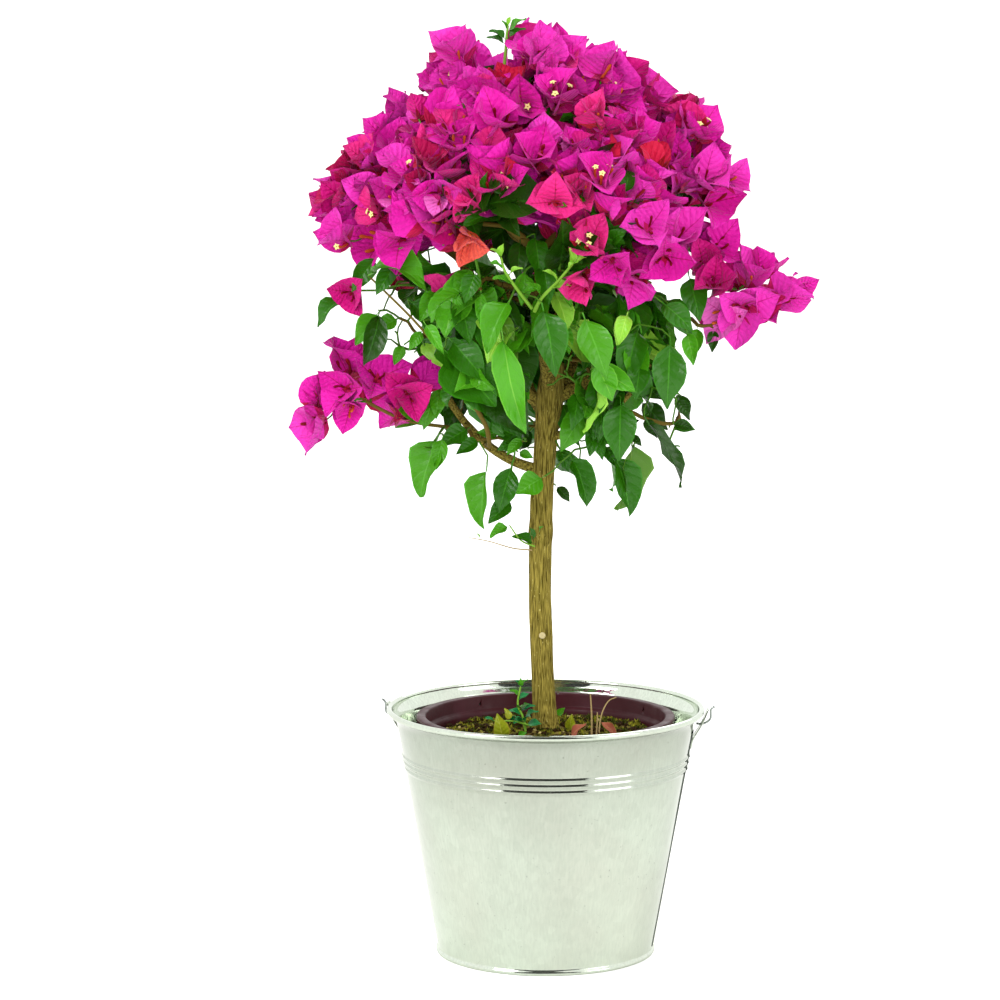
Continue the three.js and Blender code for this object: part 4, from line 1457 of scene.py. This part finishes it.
sweeping, sweep_sockets = sweep_tree()


def sweep(name, lines, sides, finish):
    curve = bpy.data.curves.new(name + "_lines", "CURVE")
    curve.dimensions = "3D"
    for points, radii in lines:
        spline = curve.splines.new("POLY")
        spline.points.add(len(points) - 1)
        spline.points.foreach_set("co", [v for p in points for v in (*p, 1)])
        spline.points.foreach_set("radius", [float(r) for r in radii])
    drawn = new_object(name + "_lines", curve)
    nodes_of = drawn.modifiers.new("sweep", "NODES")
    nodes_of.node_group = sweeping
    nodes_of[sweep_sockets["Sides"]] = sides
    nodes_of[sweep_sockets["Finish"]] = finish
    mesh = finished_mesh(drawn)
    mesh.name = name
    piece = new_object(name, mesh)
    bpy.data.batch_remove([drawn, curve])
    return piece


def strand_line(strand):
    return [wood_points[i] for i in strand], [thickness[i] for i in strand]


bough_lines = [strand_line(s) for s in bough_strands.values()]
old_lines, young_lines = [], []
for strand in strands[len(boughs):]:
    points, radii = strand_line(strand)
    radii[0] = radii[1]
    (old_lines if radii[1] > old_radius else young_lines).append((points, radii))
shoot_finish = grained("green_shoot", "4a7a1c", 0.6, 500.0, 0.3, 0.0005, gloss=0.2)
twig_finish = grained("brown_twig", "6a5a22", 0.8, 500.0, 0.5, 0.0005, (1, 1, 0.4),
                      gloss=0.2)
bough_wood = sweep("bough_wood", bough_lines, 14, bough_bark)
old_wood = sweep("old_twigs", old_lines, 8, twig_finish)
young_wood = sweep("young_shoots", young_lines, 5, shoot_finish)
print("wood:", [triangles(p) for p in (bough_wood, old_wood, young_wood)], "triangles")

# %% [markdown]
# A bougainvillea leaf is oval with a drawn-out tip, folded a little along its midrib, and it
# hangs in a curve with a wavy edge. The bracts are leaves too, so both share one maker:
# rows of points follow the midrib as it bends, and each row is as wide as the outline says.
# The maker also tells how far the tip ends up from the stalk, and how far below it.
# Leaves come in five forms of four variants each, and a variant's looks are drawn from the
# ranges of its form: how wide, how much bent along the midrib and how far folded shut.
# %% Blade maker
def blade_shape(outline, columns, seed, look, zones_at, stalk):
    local = np.random.default_rng(seed)
    phase = local.uniform(0, 6.28, 4)
    twist = local.normal(0, 0.14)
    spots, flat = [], []
    y, z, last = stalk, 0.0, 0.0
    for along, wide in outline:
        pitch = look["start"] - look["bend"] * along ** 1.3
        y += math.cos(pitch) * (along - last)
        z += math.sin(pitch) * (along - last)
        last = along
        turn = twist * along
        for t in columns:
            u = t * wide * look["width"] / 2
            lift = abs(u) * math.tan(look["fold"]) + look["cup"] * u * u / look["width"]
            lift += look["wave"] * t * t * math.sin(9.5 * along + phase[0] + (phase[1] if t < 0 else 0))
            lift += look["crinkle"] * wide * math.sin(9 * along + phase[2]) * math.sin(4 * t + phase[3])
            side = u * math.cos(turn) - lift * math.sin(turn)
            up = u * math.sin(turn) + lift * math.cos(turn)
            spots.append((side, y - up * math.sin(pitch), z + up * math.cos(pitch)))
            flat.append((0.5 + t / 2, along))
    reach = (math.hypot(y, z), math.atan2(z, y))
    rib, edge, base = zones_at
    faces, zones = [], []
    for row, step, face in sheet_cells(len(outline), len(columns)):
        faces.append(face)
        middle = abs(columns[step] + columns[step + 1]) / 2
        zones.append(1 if middle < rib else 2 if middle > edge or outline[row][0] < base else 0)
    if stalk > 0:
        first, thick = len(spots), 0.016
        for way in ((thick, 0, 0), (-thick * 0.5, 0, thick), (-thick * 0.5, 0, -thick)):
            spots.append((way[0], 0, way[2]))
            spots.append((way[0] * 0.7, stalk * 1.04, way[2] * 0.7))
            flat += [(0.5, 0), (0.5, 0)]
        for side in range(3):
            a, b = first + 2 * side, first + 2 * ((side + 1) % 3)
            faces.append((a, b, b + 1, a + 1))
            zones.append(1)
    return (spots, faces, zones, flat), reach


leaf_outline = [(0, 0.02), (0.05, 0.32), (0.14, 0.7), (0.27, 0.96), (0.42, 1.0), (0.57, 0.88),
                (0.71, 0.63), (0.83, 0.36), (0.93, 0.17), (1.0, 0.03)]
leaf_columns = (-1, -0.92, -0.5, -0.045, 0.045, 0.5, 0.92, 1)
leaf_forms = {
    "open": {"width": (0.50, 0.62), "bend": (0.3, 0.9), "fold": (0.15, 0.36)},
    "folded": {"width": (0.42, 0.54), "bend": (0.5, 1.2), "fold": (0.42, 0.72)},
    "curled": {"width": (0.42, 0.54), "bend": (1.3, 2.0), "fold": (0.25, 0.5)},
    "narrow": {"width": (0.30, 0.37), "bend": (0.5, 1.1), "fold": (0.25, 0.5)},
    "round": {"width": (0.76, 0.86), "bend": (0.2, 0.5), "fold": (0.1, 0.2)},
}
each_form, leaf_stalk, leaf_zones = 4, 0.13, (0.1, 0.94, -1)
leaf_kinds = []
for form in leaf_forms:
    for number in range(each_form):
        seed = 100 + len(leaf_kinds)
        local = np.random.default_rng(seed)
        look = {key: local.uniform(*span) for key, span in leaf_forms[form].items()}
        look |= {"start": 0.15, "cup": 0.5, "wave": local.uniform(0.03, 0.085), "crinkle": 0.02}
        leaf_kinds.append(blade_shape(leaf_outline, leaf_columns, seed, look, leaf_zones, leaf_stalk))
leaf_shapes = shape_set("leaf", [shape for shape, reach in leaf_kinds])
print(len(leaf_kinds), "leaf shapes of", len(leaf_kinds[0][0][1]), "faces")

# %% [markdown]
# Leaf surface: a thin waxy skin with side veins pressed into it. The veins are a pattern on
# the blade's own flat map, so they follow each leaf. Colour stays plain in each finish, and
# the crown gets its mixture of greens by dealing whole shoots to one finish or another.
# Each green's margin colour is lighter than its blade, a painted highlight, and the shade
# green is darker, a painted shade for leaves that lie in shadow.
# %% Leaf finishes
vein_group, source, target = group_of(
    "vein_relief",
    [("Veins", "NodeSocketFloat", 7.0), ("Slant", "NodeSocketFloat", 0.55),
     ("Crinkle", "NodeSocketFloat", 0.3)],
    [("Height", "NodeSocketFloat")],
)
flat_map = add_node(vein_group, "ShaderNodeUVMap", uv_map="blade")
parts = add_node(vein_group, "ShaderNodeSeparateXYZ")
feed(vein_group, parts.inputs[0], flat_map.outputs["UV"])


def vein_step(kind, *values):
    step = add_node(vein_group, "ShaderNodeMath", operation=kind)
    for socket, value in zip(step.inputs, values):
        feed(vein_group, socket, value)
    return step.outputs[0]


aside = vein_step("ABSOLUTE", vein_step("SUBTRACT", parts.outputs["X"], 0.5))
run = vein_step("SUBTRACT", parts.outputs["Y"], vein_step("MULTIPLY", aside, source.outputs["Slant"]))
saw = vein_step("PINGPONG", vein_step("MULTIPLY", run, source.outputs["Veins"]), 0.5)
ridges = vein_step("POWER", saw, 0.45)
puckers = cloud_on(vein_group, scale=330.0, detail=4.0)
crinkled = vein_step("MULTIPLY", puckers, source.outputs["Crinkle"])
feed(vein_group, target.inputs["Height"], vein_step("ADD", ridges, crinkled))


def blade_finish(name, chart, rough, veins, depth, crinkle, **extra):
    finish = finish_of(name, chart, rough, **extra)
    relief = add_node(finish, "ShaderNodeGroup", node_tree=vein_group)
    feed(finish, relief.inputs["Veins"], veins)
    feed(finish, relief.inputs["Crinkle"], crinkle)
    bump_on(finish, relief.outputs["Height"], depth, 0.0012)
    return finish


# Each tint has a blade, a rib and a margin colour. The margin colour is a painted highlight, and the
# shade tint is a painted shade for leaves in shadow.
leaf_tints = {
    "shade": ("1f4506", "2a5e0e", "205208"),
    "deep": ("286406", "3a7e14", "2e740a"),
    "mid": ("428a0e", "529a2a", "4a9a1a"),
    "fresh": ("4a9818", "68ac32", "60ac28"),
    "young": ("86c238", "a4d450", "9cd04a"),
    "dull": ("4c7a1a", "6c9034", "5a8626"),
    "weed": ("147238", "3aa45e", "229048"),
    "yellowing": ("8c961c", "a8ac44", "9c8a2e"),
}
leaf_finishes = {
    tint: [blade_finish(f"leaf_{tint}_{part}", chart, 0.3, 6.0, 0.4, 1.0, gloss=0.34)
           for part, chart in zip(("blade", "rib", "edge"), charts)]
    for tint, charts in leaf_tints.items()
}
print(len(leaf_finishes), "greens")

# %% [markdown]
# Leaves sit one by one along a shoot, each turned from the last. Outside on the skirt they
# hang with their upper face to the light, so a leaf points down and outwards. Those under
# the dome lie any way. The last leaf of a shoot is the youngest and the smallest.
# A leaf is left out where it would cover an opening or a placed leaf, or would stick out of
# the crown. The hem lets a few through, and those hang free.
# %% Dealing the leaves
leaf_turn, dome_clearance, past_hem = 2.4, 8 * mm, 0.06
leaf_items = {tint: [] for tint in leaf_tints}
small_items = {tint: [] for tint in leaf_tints}


def pick_from(mix):
    return str(chance.choice(list(mix), p=list(mix.values())))


def variant(form, number):
    return list(leaf_forms).index(form) * each_form + number % each_form


def add_leaf(tint, spot, along, face_up, size, pick=None, store=leaf_items):
    pick = int(chance.integers(len(leaf_kinds))) if pick is None else pick
    length, pitch = leaf_kinds[pick][1]
    size = along.length / length if size is None else size
    store[tint].append((spot, pose_of(along, face_up, pitch), size, pick))


def hides_a_placed_one(spot):
    seen = seen_at(spot)
    return any((seen - s).length < gap and spot.y < y + 3 * mm for s, y, gap in on_show)


def leafy_shoot(strand, mix, sizes, hang, share, most, depth):
    points = [Vector(wood_points[i]) for i in strand]
    spots = points[int(len(points) * (1 - share)):] or points[-1:]
    tint = pick_from(mix)
    turn = chance.uniform(0, 6.28)
    for number, spot in enumerate(list(reversed(spots))[:most]):
        ahead = Vector(wood_ways[strand[-1 - min(number, len(strand) - 1)]])
        side = off_axis(ahead, ahead.orthogonal().normalized(), turn)
        turn += leaf_turn
        out = crown_out(spot)
        down = hang * chance.uniform(0.6, 1.5)
        along = side * 0.8 + ahead * 0.3 + out * 0.35 + Vector((0, 0, -down))
        face_up = Vector((0, 0, 0.7)) + out * 0.75 + Vector(chance.normal(0, 0.3, 3))
        size = chance.uniform(*sizes) * (0.6 if number == 0 else 1) * mm
        way = along.normalized() * size
        end = spot + way * 1.05
        if leaf_in_opening(spot, along, size) or hides_a_placed_one(spot + way * 0.6):
            continue
        if near_top_shoot(spot) or near_top_shoot(end) or over_line(end) > -dome_clearance:
            continue
        if depth_in(end) < depth * mm or below_hem(end) and chance.random() > past_hem:
            continue
        add_leaf(tint if chance.random() < 0.7 else pick_from(mix), spot, along, face_up, size)


skirt_mix = {"shade": 0.2, "deep": 0.3, "mid": 0.27, "fresh": 0.12, "young": 0.03, "dull": 0.08}
# Leaves inside the crown and in the notch get mostly the shade and deep greens: painted shade.
shaded_inner_mix = {"shade": 0.6, "deep": 0.3, "mid": 0.1}
leaf_by_cup = 0.06
# mix, sizes, hang, share of the shoot with leaves, most leaves, least depth of their ends
shoot_habits = {
    "inner": (shaded_inner_mix, (30, 48), 0.1, 0.4, 5, 8),
    "notch": (shaded_inner_mix, (26, 44), 0.3, 0.6, 4, -4),
    "leafy": (skirt_mix, (34, 58), 0.8, 0.7, 6, -7),
}
for tip in tips:
    if tip["kind"] in shoot_habits:
        leafy_shoot(tip["strand"], *shoot_habits[tip["kind"]])
    elif tip["kind"] == "cup" and chance.random() < leaf_by_cup:
        leafy_shoot(tip["strand"][:-1], skirt_mix, (16, 28), 0.2, 0.3, 2, 1)
for number, (look, foot, tip, *face) in enumerate(placed_leaves):
    tint, form = look.split()
    spot = Vector(foot) * mm
    face_up = Vector(face[0] if face else front)
    add_leaf(tint, spot, Vector(tip) * mm - spot, face_up, None, variant(form, number))


def deal_tints(prefix, shapes, items_of, finishes):
    return {tint: deal(prefix + tint, shapes, items, finishes[tint])
            for tint, items in items_of.items() if items}


leaf_pieces = deal_tints("leaves_", leaf_shapes, leaf_items, leaf_finishes)
print("leaves:", {k: (len(leaf_items[k]), triangles(p)) for k, p in leaf_pieces.items()})

# %% [markdown]
# What looks like a petal is a bract, a coloured leaf as thin as paper. Three of them
# make a cup round three slender flowers. They share the blade maker, with a broader
# outline, a hollow cross-section and a finely crinkled surface. Their base zone is redder
# than the blade, and they have no stalk. Paper scatters light softly and hardly mirrors it,
# so the shine is turned down and a pink sheen is added.
# %% Bract shapes and finishes
bract_outline = [(0, 0.44), (0.07, 0.68), (0.18, 0.93), (0.33, 1.05), (0.48, 1.03), (0.62, 0.89),
                 (0.75, 0.65), (0.86, 0.36), (0.94, 0.15), (1.0, 0.02)]
bract_columns = (-1, -0.66, -0.32, -0.03, 0.03, 0.32, 0.66, 1)
bract_variants, bract_stalk, bract_zones = 14, -0.06, (0.04, 2.0, 0.15)
bract_kinds = []
for number in range(bract_variants):
    local = np.random.default_rng(300 + number)
    look = {"width": local.uniform(0.74, 0.9), "bend": local.uniform(-0.8, 1.0), "start": 0.1,
            "fold": local.uniform(0.05, 0.32), "cup": local.uniform(0.3, 1.1),
            "wave": local.uniform(0.03, 0.08), "crinkle": 0.026}
    kind = blade_shape(bract_outline, bract_columns, 40 + number, look, bract_zones, bract_stalk)
    bract_kinds.append(kind)
bract_shapes = shape_set("bract", [shape for shape, reach in bract_kinds])
bract_tints = {
    "magenta": ("d81ca2", "ac1062", "ae1044"),
    "cerise": ("c41078", "920840", "920a2c"),
    "violet": ("e234b4", "c01e84", "bc1a60"),
    "pale": ("ec68c6", "d044a0", "c84078"),
    "wine": ("b00c50", "7e0828", "7a0818"),
    "rose": ("de2a84", "b21a56", "ba2232"),
    "crimson": ("ca1a42", "92101e", "8c0e14"),
    "coral": ("e4604e", "b0382e", "b43c26"),
}
bract_finishes = {
    tint: [blade_finish(f"bract_{tint}_{part}", chart, 0.5, 8.0, 0.8, 1.6, gloss=0.16,
                        Sheen_Weight=0.2, Sheen_Roughness=0.4, Sheen_Tint=(1, 0.4, 0.8, 1))
           for part, chart in zip(("blade", "rib", "base"), charts)]
    for tint, charts in bract_tints.items()
}
print(len(bract_finishes), "bract colours, shapes of", len(bract_kinds[0][0][1]), "faces")

# %% [markdown]
# Every blossom tip carries a cup of three bracts. The cup faces outwards, each bract leans
# from its axis by its own amount, and old cups are open wider than new ones. Tints are dealt
# by region: brighter on top where the light is, warm red low at the front, partly a painted
# shade, and darker wine and crimson deep inside as a painted shade.
# A cup that would reach past the skin of its mass is made smaller, down to a least size.
# %% Dealing the bracts
smallest_cup, cup_shrink, open_share = 22 * mm, 0.93, 0.14
bract_items = {tint: [] for tint in bract_tints}
cups = []
cup_mixes = {
    "outer": {"magenta": 0.36, "cerise": 0.22, "violet": 0.25, "pale": 0.05, "rose": 0.06, "wine": 0.06},
    "top": {"magenta": 0.42, "cerise": 0.22, "violet": 0.27, "pale": 0.03, "rose": 0.06},
    # The warm mix is partly real red bracts and partly a painted shade in its crimson. The deep mix's
    # darker cerise, wine and crimson are a painted shade for cups deep inside.
    "warm": {"rose": 0.26, "cerise": 0.28, "magenta": 0.2, "wine": 0.12, "crimson": 0.14},
    "deep": {"magenta": 0.3, "cerise": 0.38, "wine": 0.14, "crimson": 0.18},
}


def mix_at(spot, kind):
    if kind == "deep_cup":
        return cup_mixes["deep"]
    if spot.y < -40 * mm and spot.z < 580 * mm and -62 * mm < spot.x < 40 * mm:
        return cup_mixes["warm"]
    return cup_mixes["top" if spot.z > 605 * mm else "outer"]


def add_cup(middle, mix, cup, sure):
    tint, axis, size, spread, open_flowers = cup
    side = axis.orthogonal().normalized()
    spin = chance.uniform(0, 6.28)
    for petal in range(3):
        turn = spin + petal * 2 * math.pi / 3 + chance.normal(0, 0.2)
        out = off_axis(axis, side, turn)
        lean = spread + chance.normal(0, 0.2)
        pick = int(chance.integers(len(bract_kinds)))
        along = axis * math.cos(lean) + out * math.sin(lean)
        own = tint if sure or chance.random() < 0.75 else pick_from(mix)
        pose = pose_of(along, axis, bract_kinds[pick][1][1])
        bract_items[own].append((middle, pose, size * chance.uniform(0.84, 1.1), pick))
    cups.append((middle, axis, size, spin, open_flowers))


def fitting(middle, axis, size, past):
    while depth_in(middle + axis * size) < -past and size > smallest_cup:
        size *= cup_shrink
    return size


for tip in tips:
    if tip["kind"] not in ("cup", "deep_cup"):
        continue
    middle = Vector(wood_points[tip["strand"][-1]])
    mix = mix_at(middle, tip["kind"])
    axis = (tip["normal"] * 0.75 + Vector((0, 0, 0.6)) + Vector(chance.normal(0, 0.28, 3))).normalized()
    length = fitting(middle, axis, chance.uniform(28, 37) * mm, chance.uniform(-3, 5) * mm)
    opened = int(chance.random() < open_share) * int(chance.integers(1, 4))
    drawn = (pick_from(mix), axis, length, chance.uniform(0.3, 0.95), opened)
    add_cup(middle, mix, tip.get("cup", drawn), "cup" in tip)
bract_pieces = deal_tints("bracts_", bract_shapes, bract_items, bract_finishes)
print(len(cups), "cups:", {k: triangles(p) for k, p in bract_pieces.items()}, "triangles")

# %% [markdown]
# The true flowers are slim tubes, orange brown to dark red, and only a few are open at one
# time. An open one ends in a cream star between five and six millimetres across.
# %% Flowers
def flower_tube(seed):
    local = np.random.default_rng(500 + seed)
    lean = local.uniform(-0.2, 0.2)
    heights = (0, 0.3, 0.62, 0.84, 0.95, 1.0)
    radii = (0.045, 0.062, 0.05, 0.078, 0.06, 0.02)
    path = [(lean * h * h, h, 0.1 * math.sin(3 * h)) for h in heights]
    corners, faces = tube(path, radii, 6)
    return corners, faces, [0] * len(faces), None


def flower_star(seed):
    local = np.random.default_rng(600 + seed)
    corners = [(0, 0, 0)]
    for step, turn in enumerate(round_steps(10)):
        reach = (1.0 if step % 2 == 0 else 0.62) * local.uniform(0.88, 1.08)
        lift = 0.16 if step % 2 == 0 else 0.3
        corners.append((reach * math.cos(turn), lift, reach * math.sin(turn)))
    for turn in round_steps(5):
        corners.append((0.2 * math.cos(turn), 0.12, 0.2 * math.sin(turn)))
    faces = [(0, 1 + s, 1 + (s + 1) % 10) for s in range(10)]
    faces += [(0, 11 + (s + 1) % 5, 11 + s) for s in range(5)]
    return corners, faces, [0] * 10 + [1] * 5, None


flower_kinds, star_size, light_share = 5, 2.7 * mm, 0.4
tube_shapes = shape_set("tube", [flower_tube(seed) for seed in range(flower_kinds)])
star_shapes = shape_set("star", [flower_star(seed) for seed in range(flower_kinds)])
flower_charts = {"tube_orange": "c05a24", "tube_dark": "7a0e18", "star": "eee696", "eye": "c8b83c"}
flower_finishes = {
    name: grained("flower_" + name, chart, 0.6, 900.0, 0.3, 0.0004, gloss=0.2)
    for name, chart in flower_charts.items()
}
light_tubes, dark_tubes, stars = [], [], []
for middle, axis, size, spin, open_flowers in cups:
    side = axis.orthogonal().normalized()
    light = chance.random() < light_share
    for bud in range(3):
        out = off_axis(axis, side, spin + bud * 2 * math.pi / 3)
        along = (axis + out * chance.uniform(0.15, 0.45)).normalized()
        length = size * chance.uniform(0.38, 0.54)
        spot = middle + out * 1.2 * mm
        pose = pose_of(along, out)
        item = (spot, pose, length, int(chance.integers(flower_kinds)))
        (light_tubes if light else dark_tubes).append(item)
        if bud < open_flowers:
            stars.append((spot + along * length, pose, star_size, int(chance.integers(flower_kinds))))
flowers = [
    deal("flower_tubes", tube_shapes, light_tubes, [flower_finishes["tube_orange"]]),
    deal("flower_tubes_dark", tube_shapes, dark_tubes, [flower_finishes["tube_dark"]]),
    deal("flower_stars", star_shapes, stars, [flower_finishes["star"], flower_finishes["eye"]]),
]
print(len(light_tubes) + len(dark_tubes), "flowers,", len(stars), "open")

# %% [markdown]
# A few things stand apart from the rule: one green shoot that has outgrown the dome, two
# bright young shoots in the notch at the front, a dry twig on the stem, and the seedlings and
# dead stalks in the pot. Each is a line of points with a thickness, and its leaves are
# placed along it by share of the line, way out from it and length. Loose leaves have the
# place of their foot instead of a share.
# %% Single shoots and seedlings
fine_lines = {"green": [], "dry": []}


def small_leaf(number, spot, along, length, tint, face_up):
    way = Vector(along).normalized() * length * mm
    add_leaf(tint, spot, way, Vector(face_up), None, variant("open", number), small_items)


def loose_leaves(face_up, leaves):
    for number, (foot, *leaf) in enumerate(leaves):
        small_leaf(number, Vector(foot) * mm, *leaf, face_up)


def small_shoot(store, points, thick, thin, leaves=()):
    path = rounded([Vector(p) * mm for p in points], 4)
    fine_lines[store].append(([tuple(p) for p in path], np.linspace(thick, thin, len(path)) * mm))
    for number, (share, *leaf) in enumerate(leaves):
        small_leaf(number, path[int(share * (len(path) - 1))], *leaf, (0, -0.6, 1))


small_shoot(
    "green", [(-31, -20, 628), (-29, -22, 648), (-28, -22, 662), (-27, -22, 669)], 1.3, 0.7,
    [(0.5, (-1, -0.25, 0.35), 15, "deep"), (0.66, (-1, -0.2, 0.5), 14, "deep"),
     (0.6, (1, -0.25, 0.55), 16, "deep"), (0.8, (1, -0.2, 0.75), 17, "mid"),
     (0.9, (-0.5, -0.2, 0.8), 8, "mid"), (1.0, (0.3, -0.2, 1), 7, "young")],
)
small_shoot(
    "green", [(-8, -92, 474), (-3, -102, 484), (8, -110, 496), (18, -112, 508)], 1.5, 0.9,
    [(0.4, (-0.6, -0.4, 0.6), 17, "fresh"), (0.55, (0.9, -0.3, 0.2), 16, "young"),
     (0.7, (-0.7, -0.5, 0.5), 15, "young"), (0.85, (0.7, -0.4, 0.7), 13, "young"),
     (1.0, (-0.2, -0.3, 1), 12, "young"), (1.0, (0.8, -0.3, 0.4), 11, "young")],
)
small_shoot(
    "green", [(-10, -92, 476), (-20, -102, 490), (-28, -108, 502), (-31, -108, 512)], 1.4, 0.8,
    [(0.3, (0.9, -0.4, 0.2), 15, "fresh"), (0.45, (-0.9, -0.3, 0.3), 16, "fresh"),
     (0.6, (0.7, -0.5, 0.4), 14, "young"), (0.75, (-0.8, -0.4, 0.4), 12, "fresh"),
     (1.0, (0.2, -0.4, 1), 11, "young"), (1.0, (-0.7, -0.3, 0.6), 10, "young")],
)
small_shoot(
    "dry", [(-10, -6, 295), (-24, -10, 297), (-40, -12, 302), (-55, -13, 305)], 0.6, 0.3,
    [(0.9, (-0.3, -0.4, 0.7), 6, "young")],
)
loose_leaves((0, -0.7, 0.8), [
    ((-8, -8, 300), (-1, -0.3, 0.35), 18, "deep"), ((-26, -14, 314), (-1, -0.3, -0.6), 17, "fresh"),
    ((-9, -9, 303), (-0.3, -0.6, 0.9), 12, "deep"), ((-5, -9, 308), (0.4, -0.7, 0.8), 8, "mid"),
])
small_shoot("green", [(-8, -8, 298), (-18, -12, 303), (-26, -14, 314)], 0.7, 0.5)
small_shoot(
    "green", [(-14, -14, 162), (-16, -14, 174), (-20, -14, 184), (-18, -14, 197)], 1.0, 0.6,
    [(0.2, (1, -0.5, 0.2), 14, "weed"), (0.26, (-0.6, -0.8, 0.1), 13, "weed"),
     (0.3, (0.4, -0.8, 0.5), 12, "weed"), (0.34, (0.9, -0.3, 0.5), 13, "weed"),
     (0.45, (-1, -0.2, 0.3), 11, "weed"), (0.5, (0.7, -0.6, 0.6), 11, "deep"),
     (0.55, (1, -0.2, 0.4), 12, "weed"), (0.66, (0.2, -0.9, 0.3), 9, "mid"),
     (0.75, (1, -0.2, 0.6), 10, "weed"), (0.85, (-1, -0.3, 0.7), 8, "mid"),
     (1.0, (-0.8, -0.3, 0.9), 7, "weed"), (1.0, (0.8, -0.3, 0.9), 8, "mid"),
     (1.0, (0, -0.3, 1), 7, "fresh")],
)
small_shoot("green", [(-10, -14, 168), (-22, -22, 173), (-37, -30, 175)], 0.9, 0.4,
            [(0.4, (-0.3, -0.8, 0.5), 11, "weed"), (0.7, (-0.4, 0.2, 0.9), 10, "yellowing"),
             (1.0, (-1, -0.4, 0.3), 8, "weed")])
for stalk, thick, thin in (
    ([(33, -30, 160), (33, -30, 178), (32, -30, 195)], 0.9, 0.5),
    ([(38, -20, 160), (40, -16, 176), (45, -8, 185), (51, -2, 187)], 0.6, 0.4),
    ([(36, -34, 160), (37, -34, 176), (37, -34, 182)], 0.7, 0.4),
    ([(62, -34, 158), (62, -34, 168)], 0.6, 0.4),
):
    small_shoot("dry", stalk, thick, thin)
loose_leaves((0, -1, 0.5), [
    ((-30, -46, 163), (-0.2, -0.2, 0.95), 22, "yellowing"),
    ((17, -12, 164), (0.15, -0.3, 1), 14, "yellowing"),
    ((-24, 6, 168), (-0.3, -0.4, 1), 8, "weed"), ((-66, -30, 163), (0.8, -0.4, 0.6), 8, "yellowing"),
    ((-20, -40, 166), (0.9, -0.4, 0.4), 8, "mid"), ((8, 16, 170), (0.8, -0.2, 0.8), 9, "fresh"),
])
# The russet leaf's margin colour is lighter too, a painted highlight.
red_leaf = [blade_finish("leaf_russet_" + part, chart, 0.5, 7.0, 0.3, 0.3, gloss=0.2)
            for part, chart in (("blade", "94503a"), ("rib", "a8784a"), ("edge", "8a7a3a"))]
red_items = []
for foot, along in (((17, -48, 166), (0.8, -0.3, 0.8)), ((51, -42, 166), (-0.8, -0.3, 0.8))):
    pick = int(chance.integers(each_form))
    pose = pose_of(along, (0, -0.7, 0.8), leaf_kinds[pick][1][1])
    red_items.append((Vector(foot) * mm, pose, 15 * mm, pick))
small_pieces = deal_tints("small_leaves_", leaf_shapes, small_items, leaf_finishes)
small_pieces["russet"] = deal("small_leaves_russet", leaf_shapes, red_items, red_leaf)
dry_finish = grained("dry_twig", "a08a5c", 0.8, 700.0, 0.4, 0.0005, gloss=0.2)
bright_finish = grained("bright_shoot", "78a834", 0.6, 500.0, 0.3, 0.0005, gloss=0.2)
green_shoots = sweep("single_green_shoots", fine_lines["green"], 7, bright_finish)
dry_stalks = sweep("dry_stalks", fine_lines["dry"], 6, dry_finish)
print("single shoots:", sum(len(lines) for lines in fine_lines.values()))

# %% [markdown]
# Each dressed piece now takes the place of the plain solids that it stands for, and rides on
# the plant's one body. The sizes before and after are written down, so that they can be
# compared: dressing a part must not make it larger.
# %% Hand over to the frame
slots = {
    "zinc": [bucket, seam, *ears.values()],
    "wire": [*hooks.values()],
    "pot_plastic": [nursery_pot],
    "soil": [soil, *scattered],
    "bark": [stem, stub, knuckle, bough_wood, old_wood, young_wood, green_shoots, dry_stalks],
    "leaf": [*leaf_pieces.values(), *small_pieces.values()],
    "bract": [*bract_pieces.values(), *flowers],
}
for slot, pieces in slots.items():
    for piece in pieces:
        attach(piece, "root")
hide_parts("bucket")
for side in ear_turns:
    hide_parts("ear_" + side)
    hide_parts("hook_" + side)
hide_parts("nursery_pot")
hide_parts("soil")
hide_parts("stem")
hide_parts(*sorted(n for n in nodes if n.startswith("bough_")))
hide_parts(*[n for n in mass_names if n.startswith("blossom_")])
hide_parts(*[n for n in mass_names if n.startswith("leaves_")])
total = sum(triangles(p) for pieces in slots.values() for p in pieces)
size = {"cad": [list(v) for v in cad_box], "visual": [list(v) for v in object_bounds()]}
print("triangles in all", total)
print("solid model", [[round(v, 3) for v in c] for c in cad_box])
print("dressed model", [[round(v, 3) for v in c] for c in size["visual"]])
